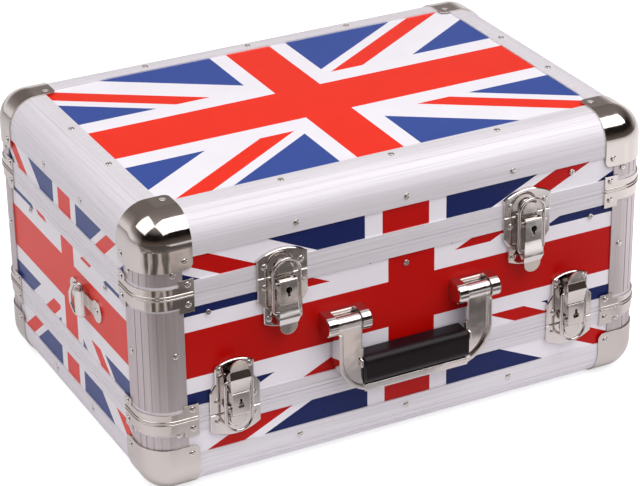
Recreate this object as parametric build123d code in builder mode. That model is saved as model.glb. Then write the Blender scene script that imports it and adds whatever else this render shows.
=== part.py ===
import os

from build123d import *

# Flight case of three shells: a base tray, a middle body hinged on it and a lid hinged on that.
# X runs along the front, Y runs from the front to the back, Z is up. The origin is on the floor,
# in the middle of the footprint. All sizes are in millimetres.

# The three shells
case_width = 460.0
case_depth = 314.0
base_height = 66.0
middle_height = 110.5
lid_height = 66.0
shell_gap = 0.4

# Boards, edge extrusions and rims
board_thickness = 4.0
slot_clearance = 0.1
skin_thickness = 1.2
edge_radius = 25.0
edge_leg = 34.0
edge_slot_depth = 8.0
rib_count = 5
rib_width = 0.7
rib_span = 60.0
rib_middle_angle = 225.0
rim_height = 11.0
rim_slot_depth = 7.0
rim_line_width = 0.7
rim_line_depth = 0.4
rim_line_from_split = 3.4
tongue_thickness = 1.2
tongue_height = 2.5
tongue_clearance = 0.6

# Lining
lining_clearance = 0.3
lining_thickness = 3.5
lining_bevel = 6.0

# Ball corners and corner braces
cap_thickness = 1.2
cap_reach = 43.0
cap_tip_radius = 5.0
brace_reach = 43.0
brace_band_height = 8.8
brace_ear_height = 14.0
brace_ear_width = 12.5

# Drawbolt latches
upper_latch_share = 0.485
lower_latch_share = 0.676
plate_half_width = 22.0
plate_foot_half_width = 17.0
plate_thickness = 2.2
plate_bevel = 0.7
plate_side_length = 41.5
plate_length = 46.0
plate_shoulder_start = 20.0
plate_shoulder_end = 27.0
plate_foot_radius = 2.0
strike_side_length = 15.0
strike_length = 22.0
nose_half_width = 7.7
nose_start = 1.2
nose_length = 11.7
nose_height = 4.8
nose_bevel = 1.2
loop_wire_radius = 1.3
loop_half_width = 11.7
loop_top = 16.8
loop_clearance = 0.3
loop_hook_bend = 2.0
loop_pivot_drop = 30.0
lever_half_width = 7.65
lever_wall = 1.3
lever_pivot_drop = 6.0
lever_pivot_rise = 5.5
lever_clearance = 0.3
lever_corner_radius = 1.5
lever_block_length = 19.5
lever_step = 1.0
flare_half_width = 9.2
flare_foot_half_width = 8.4
flare_cheek_end_drop = 33.0
flare_dip = 0.4
flare_crest_drop = 34.0
flare_crest_rise = 12.0
flare_foot_drop = 40.0
flare_foot_rise = 9.4
flare_cheek_rise = 3.4
tab_half_width = 7.6
tab_length = 9.2
tab_corner_radius = 7.4
keyhole_radius = 2.8
keyhole_slot_width = 2.2
keyhole_length = 6.0
keyhole_drop = 9.5
latch_pin_radius = 1.5
running_clearance = 0.05
latch_ear_thickness = 1.3
latch_ear_gap = 0.35
latch_ear_radius = 2.8
latch_pin_overhang = 0.5
hook_reach = 1.0

# Handle
bracket_x = 59.5
bracket_width = 39.0
bracket_height = 18.0
bracket_z = 124.2
bracket_web = 4.0
bracket_ear_radius = 8.2
bracket_bevel = 0.8
handle_pivot_out = 11.0
knuckle_radius = 6.5
knuckle_width = 21.4
knuckle_side_gap = 0.3
handle_pin_radius = 2.0
handle_pin_inset = 1.0
bail_bottom_z = 61.6
bail_strip_height = 6.2
bail_corner_radius = 33.0
bail_rim = 3.2
bail_rim_back = 5.5
bail_rim_front = 19.0
bail_web_back = 13.0
bail_web_front = 16.6
grip_half_length = 47.5
grip_height = 25.0
grip_back = 3.5
grip_front = 21.5
grip_round = 7.0

# Shoulder strap rings on both sides
strap_y = -37.5
strap_z = 128.0
strap_wing_pitch = 46.0
strap_wing_radius = 9.5
strap_waist = 12.0
strap_plate_thickness = 1.5
strap_barrel_radius = 6.0
strap_barrel_length = 22.0
strap_barrel_out = 4.5
strap_ring_wire = 1.5
strap_ring_half_height = 15.0
strap_ring_reach = 12.5
strap_ring_shoulder = 8.5
strap_ring_shoulder_drop = 1.5
strap_ring_nose = 4.5
strap_ring_stub = 5.0
strap_ring_bend = 2.5
strap_ring_nose_bend = 4.0
strap_ring_turn = 65.0

# Hinges on the back
hinge_share = 0.609
hinge_width = 50.0
hinge_leaf_length = 24.0
hinge_leaf_thickness = 1.5
hinge_cut_back = 3.6
hinge_knuckle_radius = 3.2
hinge_axis_out = 3.5
hinge_pin_radius = 1.5
hinge_knuckle_count = 5
hinge_knuckle_gap = 0.3

# How many times larger a cutting form is than what it cuts
cut_oversize = 3.0

# Levels and distances worked out from the sizes above
base_bottom = cap_thickness
lower_split = base_bottom + base_height
upper_split = lower_split + middle_height
lid_top = upper_split + lid_height
half_width = case_width / 2
half_depth = case_depth / 2
half_gap = shell_gap / 2
board_inset = skin_thickness + slot_clearance
board_start = edge_leg - edge_slot_depth + 2 * slot_clearance
rim_end = half_gap + rim_height
board_end = half_gap + rim_height - rim_slot_depth + slot_clearance
inner_flange = board_inset + board_thickness + slot_clearance
rim_depth = inner_flange + skin_thickness
lining_inset = rim_depth + lining_clearance
upper_latch_x = upper_latch_share * half_width
lower_latch_x = lower_latch_share * half_width
hinge_x = hinge_share * half_width
low_corner = (Align.MIN, Align.MIN)

os.makedirs("parts", exist_ok=True)


def save(part, name):
    part.label = name
    export_step(part, f"parts/{name}.step")


def placed(form, plane):
    """A finished form, moved from its own frame onto a plane of the case."""
    with BuildPart(plane) as moved:
        add(form)
    return moved.part


def plan_outline(inset, mode=Mode.ADD):
    """Draws the case's rounded plan in the open sketch, a distance in from the outer faces."""
    RectangleRounded(case_width - 2 * inset, case_depth - 2 * inset, edge_radius - inset, mode=mode)


def plan_ring(outer_inset, inner_inset):
    """Draws a band of the case's plan in the open sketch, between two distances in from the outer faces."""
    plan_outline(outer_inset)
    plan_outline(inner_inset, Mode.SUBTRACT)


# Section of the rounded edge extrusion, its corner at the origin and its two legs along X and Y
with BuildSketch() as edge_inside:
    with Locations((skin_thickness, skin_thickness)):
        Rectangle(edge_leg, edge_leg, align=low_corner)
    fillet(edge_inside.vertices().sort_by_distance((0, 0))[0], edge_radius - skin_thickness)

with BuildSketch() as edge_section:
    Rectangle(edge_leg, edge_leg, align=low_corner)
    fillet(edge_section.vertices().sort_by_distance((0, 0))[0], edge_radius)
    add(edge_inside.sketch, mode=Mode.SUBTRACT)
    # a web and an inner flange on each leg make the slot that holds a board
    web_start = edge_leg - edge_slot_depth - skin_thickness
    with Locations((web_start, inner_flange)):
        Rectangle(edge_leg - web_start, skin_thickness, align=low_corner)
    with Locations((web_start, skin_thickness / 2)):
        Rectangle(skin_thickness, inner_flange, align=low_corner)
    with Locations((inner_flange, web_start)):
        Rectangle(skin_thickness, edge_leg - web_start, align=low_corner)
    with Locations((skin_thickness / 2, web_start)):
        Rectangle(inner_flange, skin_thickness, align=low_corner)
    # shallow grooves leave fine ribs on the round
    with Locations((edge_radius, edge_radius)):
        rib_start = rib_middle_angle - rib_span / 2
        with PolarLocations(edge_radius, rib_count, rib_start, rib_span, endpoint=True):
            Rectangle(rib_width, rib_width, mode=Mode.SUBTRACT)


def edge_bar(point, leg_a, leg_b, length):
    """An edge extrusion from a point on the case's outer edge, with the directions of its two legs."""
    with BuildPart() as bar:
        with BuildSketch(Plane(origin=point, x_dir=leg_a, z_dir=Vector(leg_a).cross(Vector(leg_b)))):
            add(edge_section.sketch)
        extrude(amount=length)
    return bar.part


def shell_edges(level, up):
    """The edge extrusions round the base or the lid: level is the outer face, up points to the split."""
    along = case_width - 2 * edge_leg
    across = case_depth - 2 * edge_leg
    bars = []
    upright = (0, 0, up)
    for side in (-1, 1):
        long_start = (side * up * along / 2, side * half_depth, level)
        bars.append(edge_bar(long_start, (0, -side, 0), upright, along))
        short_start = (side * half_width, -side * up * across / 2, level)
        bars.append(edge_bar(short_start, (-side, 0, 0), upright, across))
    with BuildPart() as edges:
        add(bars)
    return edges.part


def corner_posts(bottom, top):
    """The four upright corner extrusions of one shell."""
    with BuildPart() as posts:
        with BuildSketch(Plane.XY.offset(bottom)):
            with Locations((-half_width, -half_depth)):
                add(edge_section.sketch)
            mirror(about=Plane.XZ)
            mirror(about=Plane.YZ)
        extrude(amount=top - bottom)
    return posts.part


def rim(split, up, tongue):
    """A bent rim frame with a slot for the boards, and a tongue or a groove at the split."""
    face = split + up * half_gap
    tongue_inset = (rim_depth - tongue_thickness) / 2
    tongue_end = tongue_inset + tongue_thickness
    with BuildPart() as frame:
        with BuildSketch(Plane.XY.offset(face)):
            plan_ring(0, rim_depth)
        extrude(amount=up * rim_height)
        with BuildSketch(Plane.XY.offset(split + up * rim_end)):
            plan_ring(skin_thickness, inner_flange)
        extrude(amount=-up * rim_slot_depth, mode=Mode.SUBTRACT)
        with BuildSketch(Plane.XY.offset(split + up * rim_line_from_split)):
            plan_ring(0, rim_line_depth)
        extrude(amount=up * rim_line_width, mode=Mode.SUBTRACT)
        with BuildSketch(Plane.XY.offset(face)):
            if tongue:
                plan_ring(tongue_inset, tongue_end)
            else:
                plan_ring(tongue_inset - tongue_clearance, tongue_end + tongue_clearance)
        if tongue:
            extrude(amount=-up * tongue_height)
        else:
            extrude(amount=up * (tongue_height + tongue_clearance - shell_gap), mode=Mode.SUBTRACT)
    return frame.part


def side_boards(bottom, top):
    """The front, back, left and right boards of one shell, their edges in the slots."""
    board_middle = board_inset + board_thickness / 2
    with BuildPart() as boards:
        with BuildSketch(Plane.XY.offset(bottom)):
            with GridLocations(0, case_depth - 2 * board_middle, 1, 2):
                Rectangle(case_width - 2 * board_start, board_thickness)
            with GridLocations(case_width - 2 * board_middle, 0, 2, 1):
                Rectangle(board_thickness, case_depth - 2 * board_start)
        extrude(amount=top - bottom)
    return boards.part


def flat_board(level, up):
    """The floor board of the base or the top board of the lid."""
    with BuildPart() as board:
        with BuildSketch(Plane.XY.offset(level + up * board_inset)):
            Rectangle(case_width - 2 * board_start, case_depth - 2 * board_start)
        extrude(amount=up * board_thickness)
    return board.part


def tray_lining(level, split, up):
    """Foam lining of the base or the lid, closed at its outer end and open at the split."""
    outer_end = level + up * lining_inset
    length = abs(split - outer_end) - shell_gap
    with BuildPart() as lining:
        with BuildSketch(Plane.XY.offset(outer_end)):
            plan_outline(lining_inset)
        extrude(amount=up * length)
        closed_end = lining.faces().sort_by(Axis.Z)[0 if up > 0 else -1]
        chamfer(closed_end.edges(), lining_bevel)
        with BuildSketch(Plane.XY.offset(outer_end + up * lining_thickness)):
            plan_outline(lining_inset + lining_thickness)
        extrude(amount=up * length, mode=Mode.SUBTRACT)
    return lining.part


with BuildPart() as middle_lining:
    with BuildSketch(Plane.XY.offset(lower_split + shell_gap)):
        plan_ring(lining_inset, lining_inset + lining_thickness)
    extrude(amount=middle_height - 2 * shell_gap)

# One ball corner, its three faces on the planes through the origin
cap_size = cap_reach + cap_thickness
cap_blank = cut_oversize * cap_size

with BuildPart() as cap_inside:
    with Locations((cap_blank / 2, cap_blank / 2, cap_blank / 2)):
        Box(cap_blank - 2 * cap_thickness, cap_blank - 2 * cap_thickness, cap_blank - 2 * cap_thickness)
    fillet(cap_inside.edges(), edge_radius)

with BuildPart() as ball_corner:
    with Locations((cap_blank / 2, cap_blank / 2, cap_blank / 2)):
        Box(cap_blank, cap_blank, cap_blank)
    fillet(ball_corner.edges(), edge_radius + cap_thickness)
    add(cap_inside.part, mode=Mode.SUBTRACT)
    for cap_plane in (Plane.XY, Plane.YZ, Plane.ZX):
        with BuildSketch(cap_plane) as cap_outline:
            Rectangle(cap_size, cap_size, align=low_corner)
            fillet(cap_outline.vertices().sort_by_distance((0, 0))[-1], cap_tip_radius)
        extrude(amount=cap_size, mode=Mode.INTERSECT)

with BuildPart() as base_ball_corners:
    with Locations((-half_width - cap_thickness, -half_depth - cap_thickness, base_bottom - cap_thickness)):
        add(ball_corner.part)
    mirror(about=Plane.XZ)
    mirror(about=Plane.YZ)

with BuildPart() as lid_ball_corners:
    mirror(base_ball_corners.part, about=Plane.XY.offset((base_bottom + lid_top) / 2))


def corner_braces(split, up):
    """Four bands that wrap the upright corners beside a split, with a riveted ear on each face."""
    ear_start = brace_reach - brace_ear_width
    past_case = cut_oversize * cap_thickness
    with BuildPart() as braces:
        with BuildSketch(Plane.XY.offset(split + up * half_gap)):
            plan_ring(-cap_thickness, 0)
            Rectangle(case_width - 2 * brace_reach, case_depth + past_case, mode=Mode.SUBTRACT)
            Rectangle(case_width + past_case, case_depth - 2 * brace_reach, mode=Mode.SUBTRACT)
        extrude(amount=up * brace_ear_height)
        with BuildSketch(Plane.XY.offset(split + up * (half_gap + brace_band_height))):
            with GridLocations(case_width, case_depth, 2, 2):
                Rectangle(2 * ear_start, 2 * ear_start)
        extrude(amount=up * brace_ear_height, mode=Mode.SUBTRACT)
    return braces.part


# Drawbolt latch, in its own frame: X across it, Y from the split towards the keeper, Z out of the case
pivot_height = plate_thickness + lever_pivot_rise
lever_bottom = plate_thickness + lever_clearance
lever_reach = lever_pivot_rise - lever_clearance
lever_face = pivot_height + lever_reach
block_end = -lever_pivot_drop + lever_reach - (lever_block_length + lever_clearance)
loop_height = plate_thickness + nose_height + loop_clearance + loop_wire_radius
ear_start = lever_half_width + latch_ear_gap
pin_reach = ear_start + latch_ear_thickness + latch_pin_overhang
plate_cut_width = cut_oversize * plate_half_width

with BuildPart() as latch_plate:
    plate_side = [
        (plate_foot_half_width, -plate_side_length),
        (plate_foot_half_width, -plate_shoulder_end),
        (plate_half_width, -plate_shoulder_start),
        (plate_half_width, -half_gap),
    ]
    other_side = [(-across, height) for across, height in reversed(plate_side)]
    with BuildSketch() as plate_outline:
        with BuildLine():
            Polyline(*plate_side, *other_side)
            ThreePointArc(other_side[-1], (0, -plate_length), plate_side[0])
        make_face()
        fillet(plate_outline.vertices().group_by(Axis.Y)[0], plate_foot_radius)
    extrude(amount=plate_thickness)
    chamfer(latch_plate.faces().sort_by(Axis.Z)[-1].edges(), plate_bevel)
    # beyond the rim the plate is backed down to the recessed board
    with BuildSketch():
        add(plate_outline.sketch)
        with Locations((0, -rim_end - slot_clearance)):
            Rectangle(plate_cut_width, plate_length, align=(Align.CENTER, Align.MIN), mode=Mode.SUBTRACT)
    extrude(amount=-board_inset)
    # two ears carry the lever's pin
    with BuildSketch(Plane.YZ.offset(ear_start)):
        with Locations((-lever_pivot_drop, pivot_height)):
            Circle(latch_ear_radius)
        with Locations((-lever_pivot_drop, plate_thickness)):
            Rectangle(2 * latch_ear_radius, lever_pivot_rise, align=(Align.CENTER, Align.MIN))
    extrude(amount=latch_ear_thickness)
    mirror(about=Plane.YZ)
    with BuildSketch(Plane.YZ):
        with Locations((-lever_pivot_drop, pivot_height)):
            Circle(latch_pin_radius)
    extrude(amount=plate_half_width, both=True, mode=Mode.SUBTRACT)

with BuildPart() as latch_pin:
    with BuildSketch(Plane.YZ):
        with Locations((-lever_pivot_drop, pivot_height)):
            Circle(latch_pin_radius)
    extrude(amount=pin_reach, both=True)

with BuildPart() as latch_strike:
    with BuildSketch() as strike_outline:
        with BuildLine():
            Polyline(
                (-plate_half_width, strike_side_length),
                (-plate_half_width, half_gap),
                (plate_half_width, half_gap),
                (plate_half_width, strike_side_length),
            )
            ThreePointArc(
                (plate_half_width, strike_side_length),
                (0, strike_length),
                (-plate_half_width, strike_side_length),
            )
        make_face()
    extrude(amount=plate_thickness)
    chamfer(latch_strike.faces().sort_by(Axis.Z)[-1].edges(), plate_bevel)
    with BuildSketch():
        add(strike_outline.sketch)
        with Locations((0, rim_end + slot_clearance)):
            Rectangle(plate_cut_width, strike_length, align=(Align.CENTER, Align.MAX), mode=Mode.SUBTRACT)
    extrude(amount=-board_inset)
    # the nose that the loop goes round
    nose_round = nose_start + nose_length - nose_half_width
    nose_cut = cut_oversize * nose_half_width
    with BuildSketch(Plane.XY.offset(plate_thickness)):
        with Locations((0, nose_round)):
            Circle(nose_half_width)
            Rectangle(nose_cut, nose_cut, align=(Align.CENTER, Align.MAX), mode=Mode.SUBTRACT)
        with Locations((0, nose_start)):
            Rectangle(2 * nose_half_width, nose_round - nose_start, align=(Align.CENTER, Align.MIN))
    extrude(amount=nose_height)
    chamfer(latch_strike.faces().sort_by(Axis.Z)[-1].edges(), nose_bevel)


def lever_block(wall):
    """The lever's block, or with a wall thickness the hollow under it."""
    end = -lever_pivot_drop + lever_reach - wall
    radius = lever_reach - wall
    face = lever_face - wall
    with BuildPart() as block:
        with BuildSketch(Plane.YZ) as profile:
            with BuildLine():
                CenterArc((-lever_pivot_drop, pivot_height), radius, -90, 90)
                Polyline(
                    (end, pivot_height),
                    (end, face),
                    (block_end, face),
                    (block_end, lever_bottom + wall),
                    (-lever_pivot_drop, lever_bottom + wall),
                )
            make_face()
            fillet(profile.vertices().sort_by_distance((end, face))[0], lever_corner_radius - wall)
        extrude(amount=lever_half_width - wall, both=True)
    return block.part


def lever_flare(wall):
    """The lever's flared end, or with a wall thickness the hollow under it."""
    cheek = plate_thickness + flare_cheek_rise - wall
    start = (block_end, lever_face - lever_step - wall)
    crest = (-flare_crest_drop, plate_thickness + flare_crest_rise - wall)
    foot = (-flare_foot_drop, plate_thickness + flare_foot_rise - wall)
    dip = ((start[0] + crest[0]) / 2, (start[1] + crest[1]) / 2 - flare_dip)
    foot_edge = (foot[0], foot[1] - lever_wall)
    plan_side = [
        (lever_half_width - wall, block_end),
        (flare_half_width - wall, -flare_crest_drop),
        (flare_foot_half_width - wall, -flare_foot_drop),
    ]
    other_side = [(-across, drop) for across, drop in reversed(plan_side)]
    with BuildPart() as flare:
        with BuildSketch():
            with BuildLine():
                Polyline(*plan_side, *other_side, close=True)
            make_face()
        extrude(amount=2 * lever_face)
        with BuildSketch(Plane.YZ):
            with BuildLine():
                ThreePointArc(start, dip, crest)
                Polyline(crest, foot, foot_edge, (-flare_cheek_end_drop, cheek), (block_end, cheek), start)
            make_face()
        extrude(amount=plate_half_width, both=True, mode=Mode.INTERSECT)
    return flare.part


block_form = lever_block(0)
block_hollow = lever_block(lever_wall)
flare_form = lever_flare(0)
flare_hollow = lever_flare(lever_wall)
flare_foot_height = plate_thickness + flare_foot_rise

with BuildPart() as latch_lever:
    add(block_form)
    add(flare_form)
    with BuildSketch(Plane.XY.offset(flare_foot_height - lever_wall)) as tab_outline:
        with Locations((0, -flare_foot_drop - tab_length)):
            Rectangle(2 * tab_half_width, tab_length + lever_wall, align=(Align.CENTER, Align.MIN))
        fillet(tab_outline.vertices().group_by(Axis.Y)[0], tab_corner_radius)
    extrude(amount=lever_wall)
    add(block_hollow, mode=Mode.SUBTRACT)
    add(flare_hollow, mode=Mode.SUBTRACT)
    # the hollow is open below
    hollow_width = 2 * (lever_half_width - lever_wall)
    with BuildSketch(Plane.XY.offset(lever_bottom)):
        with Locations((0, -lever_pivot_drop)):
            Rectangle(hollow_width, -lever_pivot_drop - block_end, align=(Align.CENTER, Align.MAX))
    extrude(amount=lever_wall, mode=Mode.SUBTRACT)
    # keyhole through the face
    with BuildSketch(Plane.XY.offset(lever_face)):
        with Locations((0, -keyhole_drop)):
            Circle(keyhole_radius)
            Rectangle(keyhole_slot_width, keyhole_length, align=(Align.CENTER, Align.MAX))
    extrude(amount=-2 * lever_wall, mode=Mode.SUBTRACT)
    # bores for the pin and for the loop's ends
    with BuildSketch(Plane.YZ):
        with Locations((-lever_pivot_drop, pivot_height)):
            Circle(latch_pin_radius + running_clearance)
        with Locations((-loop_pivot_drop, loop_height)):
            Circle(loop_wire_radius + running_clearance)
    extrude(amount=plate_half_width, both=True, mode=Mode.SUBTRACT)

with BuildPart() as latch_loop:
    loop_centre = loop_top - loop_wire_radius - loop_half_width
    hook_end = lever_half_width - lever_wall - hook_reach
    hook_start = (hook_end, -loop_pivot_drop)
    leg_foot = (loop_half_width, -loop_pivot_drop)
    with BuildLine(Plane.XY.offset(loop_height)) as loop_line:
        FilletPolyline(hook_start, leg_foot, (loop_half_width, loop_centre), radius=loop_hook_bend)
        CenterArc((0, loop_centre), loop_half_width, 0, 180)
        mirror(loop_line.edges()[:3], about=Plane.YZ)
    with BuildSketch(Plane(origin=(hook_end, -loop_pivot_drop, loop_height), z_dir=(1, 0, 0))):
        Circle(loop_wire_radius)
    sweep()

# Carrying handle, in the frame of its pivots: Y up, Z out of the board
handle_frame = Plane(origin=(0, -half_depth + board_inset, bracket_z), x_dir=(1, 0, 0), z_dir=(0, -1, 0))
bail_half_width = bracket_x + knuckle_width / 2
knuckle_start = bracket_x - knuckle_width / 2
bail_bottom = bail_bottom_z - bracket_z
grip_bottom = bail_bottom + bail_strip_height
pin_length = bracket_width - 2 * handle_pin_inset

with BuildPart() as handle_bracket:
    with BuildSketch(Plane.YZ):
        with BuildLine():
            Polyline(
                (-bracket_height / 2, 0),
                (bracket_height / 2, 0),
                (bracket_ear_radius, handle_pivot_out),
                (-bracket_ear_radius, handle_pivot_out),
                close=True,
            )
        make_face()
        with Locations((0, handle_pivot_out)):
            Circle(bracket_ear_radius)
    extrude(amount=bracket_width / 2, both=True)
    for end in (0, -1):
        end_face = handle_bracket.faces().sort_by(Axis.X)[end]
        chamfer(end_face.outer_wire().edges().filter_by(GeomType.CIRCLE), bracket_bevel)
    with BuildSketch(Plane.XY.offset(bracket_web)):
        Rectangle(knuckle_width + 2 * knuckle_side_gap, 2 * bracket_height)
    extrude(amount=2 * bracket_height, mode=Mode.SUBTRACT)
    with BuildSketch(Plane.YZ):
        with Locations((0, handle_pivot_out)):
            Circle(handle_pin_radius)
    extrude(amount=pin_length / 2, both=True, mode=Mode.SUBTRACT)

with BuildPart() as handle_pin:
    with BuildSketch(Plane.YZ):
        with Locations((0, handle_pivot_out)):
            Circle(handle_pin_radius)
    extrude(amount=pin_length / 2, both=True)


def bail_outline(inset, top, mode=Mode.ADD):
    """Draws the bail's U outline in the open sketch, a distance in from its edge."""
    height = top - bail_bottom - inset
    middle = (top + bail_bottom + inset) / 2
    corner = bail_corner_radius - inset
    with Locations((0, middle + height / 2)):
        # twice as high as needed, so that only its lower corners are used
        RectangleRounded(2 * (bail_half_width - inset), 2 * height, corner, mode=mode)
    with Locations((0, top)):
        Rectangle(cut_oversize * bail_half_width, 2 * height, align=(Align.CENTER, Align.MIN), mode=Mode.SUBTRACT)


with BuildPart() as handle_bail:
    # flat web with the window for the hand
    with BuildSketch(Plane.XY.offset(bail_web_back)):
        bail_outline(0, 0)
        with Locations((0, grip_bottom)):
            Rectangle(2 * grip_half_length, -grip_bottom, align=(Align.CENTER, Align.MIN), mode=Mode.SUBTRACT)
        with Locations((0, grip_bottom + grip_height + grip_round)):
            Rectangle(2 * knuckle_start, bracket_z, align=(Align.CENTER, Align.MIN), mode=Mode.SUBTRACT)
    extrude(amount=bail_web_front - bail_web_back)
    # deeper rim round the outer edge, and the seat under the grip
    with BuildSketch(Plane.XY.offset(bail_rim_back)):
        bail_outline(0, -knuckle_radius)
        bail_outline(bail_rim, -knuckle_radius, Mode.SUBTRACT)
        with Locations((0, bail_bottom)):
            Rectangle(2 * grip_half_length, bail_strip_height, align=(Align.CENTER, Align.MIN))
    extrude(amount=bail_rim_front - bail_rim_back)
    for side in (-1, 1):
        with BuildSketch(Plane.YZ.offset(side * bracket_x)):
            with Locations((0, handle_pivot_out)):
                Circle(knuckle_radius)
        extrude(amount=knuckle_width / 2, both=True)
    with BuildSketch(Plane.YZ):
        with Locations((0, handle_pivot_out)):
            Circle(handle_pin_radius + running_clearance)
    extrude(amount=2 * bail_half_width, both=True, mode=Mode.SUBTRACT)

with BuildPart() as handle_grip:
    with BuildSketch(Plane.YZ) as grip_section:
        with Locations((grip_bottom, grip_back)):
            Rectangle(grip_height, grip_front - grip_back, align=low_corner)
        fillet(grip_section.vertices().group_by(Axis.Y)[-1], grip_round)
    extrude(amount=grip_half_length, both=True)

# Strap ring on the left board, in its own frame: X to the front, Y up, Z out of the board
strap_frame = Plane(origin=(-half_width + board_inset, strap_y, strap_z), x_dir=(0, -1, 0), z_dir=(-1, 0, 0))

barrel_cut = cut_oversize * strap_barrel_radius

with BuildPart() as strap_plate:
    with BuildSketch():
        with GridLocations(strap_wing_pitch, 0, 2, 1):
            Circle(strap_wing_radius)
        Rectangle(strap_wing_pitch, strap_waist)
        Rectangle(2 * strap_barrel_radius, strap_barrel_length)
    extrude(amount=strap_plate_thickness)
    with BuildSketch(Plane.XZ):
        with Locations((0, strap_barrel_out)):
            Circle(strap_barrel_radius)
        Rectangle(2 * strap_barrel_radius, strap_barrel_out, align=(Align.CENTER, Align.MIN))
        Rectangle(barrel_cut, strap_barrel_radius, align=(Align.CENTER, Align.MAX), mode=Mode.SUBTRACT)
    extrude(amount=strap_barrel_length / 2, both=True)
    with BuildSketch(Plane.XZ):
        with Locations((0, strap_barrel_out)):
            Circle(strap_ring_wire + running_clearance)
    extrude(amount=strap_barrel_length, both=True, mode=Mode.SUBTRACT)

with BuildPart() as strap_ring:
    reach_way = Vector(0, 0, 1).rotate(Axis.Y, -strap_ring_turn)
    ring_plane = Plane(origin=(0, 0, strap_barrel_out), x_dir=reach_way, z_dir=reach_way.cross(Vector(0, 1, 0)))
    upper_half = [
        (0, strap_ring_half_height),
        (strap_ring_shoulder, strap_ring_half_height - strap_ring_shoulder_drop),
        (strap_ring_reach, strap_ring_nose),
    ]
    bends = [strap_ring_bend, strap_ring_nose_bend, strap_ring_nose_bend]
    stub_end = strap_barrel_length / 2 - strap_ring_stub
    with BuildLine(ring_plane) as ring_line:
        FilletPolyline(
            (0, stub_end),
            *upper_half,
            *[(reach, -height) for reach, height in reversed(upper_half)],
            (0, -stub_end),
            radius=bends + bends[::-1],
        )
    with BuildSketch(Plane(origin=(0, stub_end, strap_barrel_out), z_dir=(0, 1, 0))):
        Circle(strap_ring_wire)
    sweep()


def hinge_leaf(up, first_knuckle, bore_radius):
    """A hinge leaf in the frame of the back face at a split, which takes every second knuckle."""
    knuckle_length = (hinge_width - (hinge_knuckle_count - 1) * hinge_knuckle_gap) / hinge_knuckle_count
    knuckle_pitch = knuckle_length + hinge_knuckle_gap
    plate_align = (Align.CENTER, Align.MIN if up > 0 else Align.MAX)
    tab_align = (Align.MIN if up > 0 else Align.MAX, Align.MIN)
    backing_start = rim_end + slot_clearance
    with BuildPart() as leaf:
        with BuildSketch():
            with Locations((0, up * hinge_cut_back)):
                Rectangle(hinge_width, hinge_leaf_length - hinge_cut_back, align=plate_align)
        extrude(amount=hinge_leaf_thickness)
        with BuildSketch():
            with Locations((0, up * backing_start)):
                Rectangle(hinge_width, hinge_leaf_length - backing_start, align=plate_align)
        extrude(amount=-board_inset)
        for index in range(first_knuckle, hinge_knuckle_count, 2):
            with BuildSketch(Plane.YZ.offset(index * knuckle_pitch - hinge_width / 2)):
                with Locations((0, hinge_axis_out)):
                    Circle(hinge_knuckle_radius)
                Rectangle(hinge_cut_back, hinge_leaf_thickness, align=tab_align)
            extrude(amount=knuckle_length)
        with BuildSketch(Plane.YZ):
            with Locations((0, hinge_axis_out)):
                Circle(bore_radius)
        extrude(amount=hinge_width, both=True, mode=Mode.SUBTRACT)
    return leaf.part


def hinge_frames(split):
    """The frames of the two hinges at one split, on the back face."""
    origins = [(-hinge_x, half_depth, split), (hinge_x, half_depth, split)]
    return [Plane(origin=origin, x_dir=(-1, 0, 0), z_dir=(0, 1, 0)) for origin in origins]


def both_hinges(form, split):
    pieces = [placed(form, frame) for frame in hinge_frames(split)]
    with BuildPart() as pair:
        add(pieces)
    return pair.part


with BuildPart() as hinge_pin:
    with BuildSketch(Plane.YZ):
        with Locations((0, hinge_axis_out)):
            Circle(hinge_pin_radius)
    extrude(amount=hinge_width / 2, both=True)

loose_bore = hinge_pin_radius + running_clearance
middle_lower_leaf = hinge_leaf(1, 1, hinge_pin_radius)
middle_upper_leaf = hinge_leaf(-1, 0, hinge_pin_radius)
base_leaf = hinge_leaf(-1, 0, loose_bore)
lid_leaf = hinge_leaf(1, 1, loose_bore)

# Frames of the four latches, on the front face
latch_frames = {}
for row, split, keeper_up, latch_x in (
    ("upper", upper_split, 1, upper_latch_x),
    ("lower", lower_split, -1, lower_latch_x),
):
    for side_name, side in (("left", -1), ("right", 1)):
        latch_frames[f"{row}_{side_name}"] = Plane(
            origin=(side * latch_x, -half_depth, split), x_dir=(keeper_up, 0, 0), z_dir=(0, -1, 0)
        )

# Write every piece
save(flat_board(base_bottom, 1), "base_floor_panel")
save(side_boards(base_bottom + board_start, lower_split - board_end), "base_side_panels")
save(shell_edges(base_bottom, 1), "base_edge_extrusions")
save(corner_posts(base_bottom + edge_leg, lower_split - rim_end), "base_corner_posts")
save(rim(lower_split, -1, tongue=True), "base_rim")
save(base_ball_corners.part, "base_ball_corners")
save(corner_braces(lower_split, -1), "base_corner_braces")
save(tray_lining(base_bottom, lower_split, 1), "base_lining")
save(both_hinges(base_leaf, lower_split), "lower_hinge_leaves_base")

save(side_boards(lower_split + board_end, upper_split - board_end), "middle_side_panels")
save(corner_posts(lower_split + rim_end, upper_split - rim_end), "middle_corner_posts")
save(rim(lower_split, 1, tongue=False), "middle_lower_rim")
save(rim(upper_split, -1, tongue=True), "middle_upper_rim")
save(corner_braces(lower_split, 1), "middle_lower_braces")
save(corner_braces(upper_split, -1), "middle_upper_braces")
save(middle_lining.part, "middle_lining")
save(both_hinges(middle_lower_leaf, lower_split), "lower_hinge_leaves_middle")
save(both_hinges(middle_upper_leaf, upper_split), "upper_hinge_leaves_middle")
save(both_hinges(hinge_pin.part, lower_split), "lower_hinge_pins")
save(both_hinges(hinge_pin.part, upper_split), "upper_hinge_pins")

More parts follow.
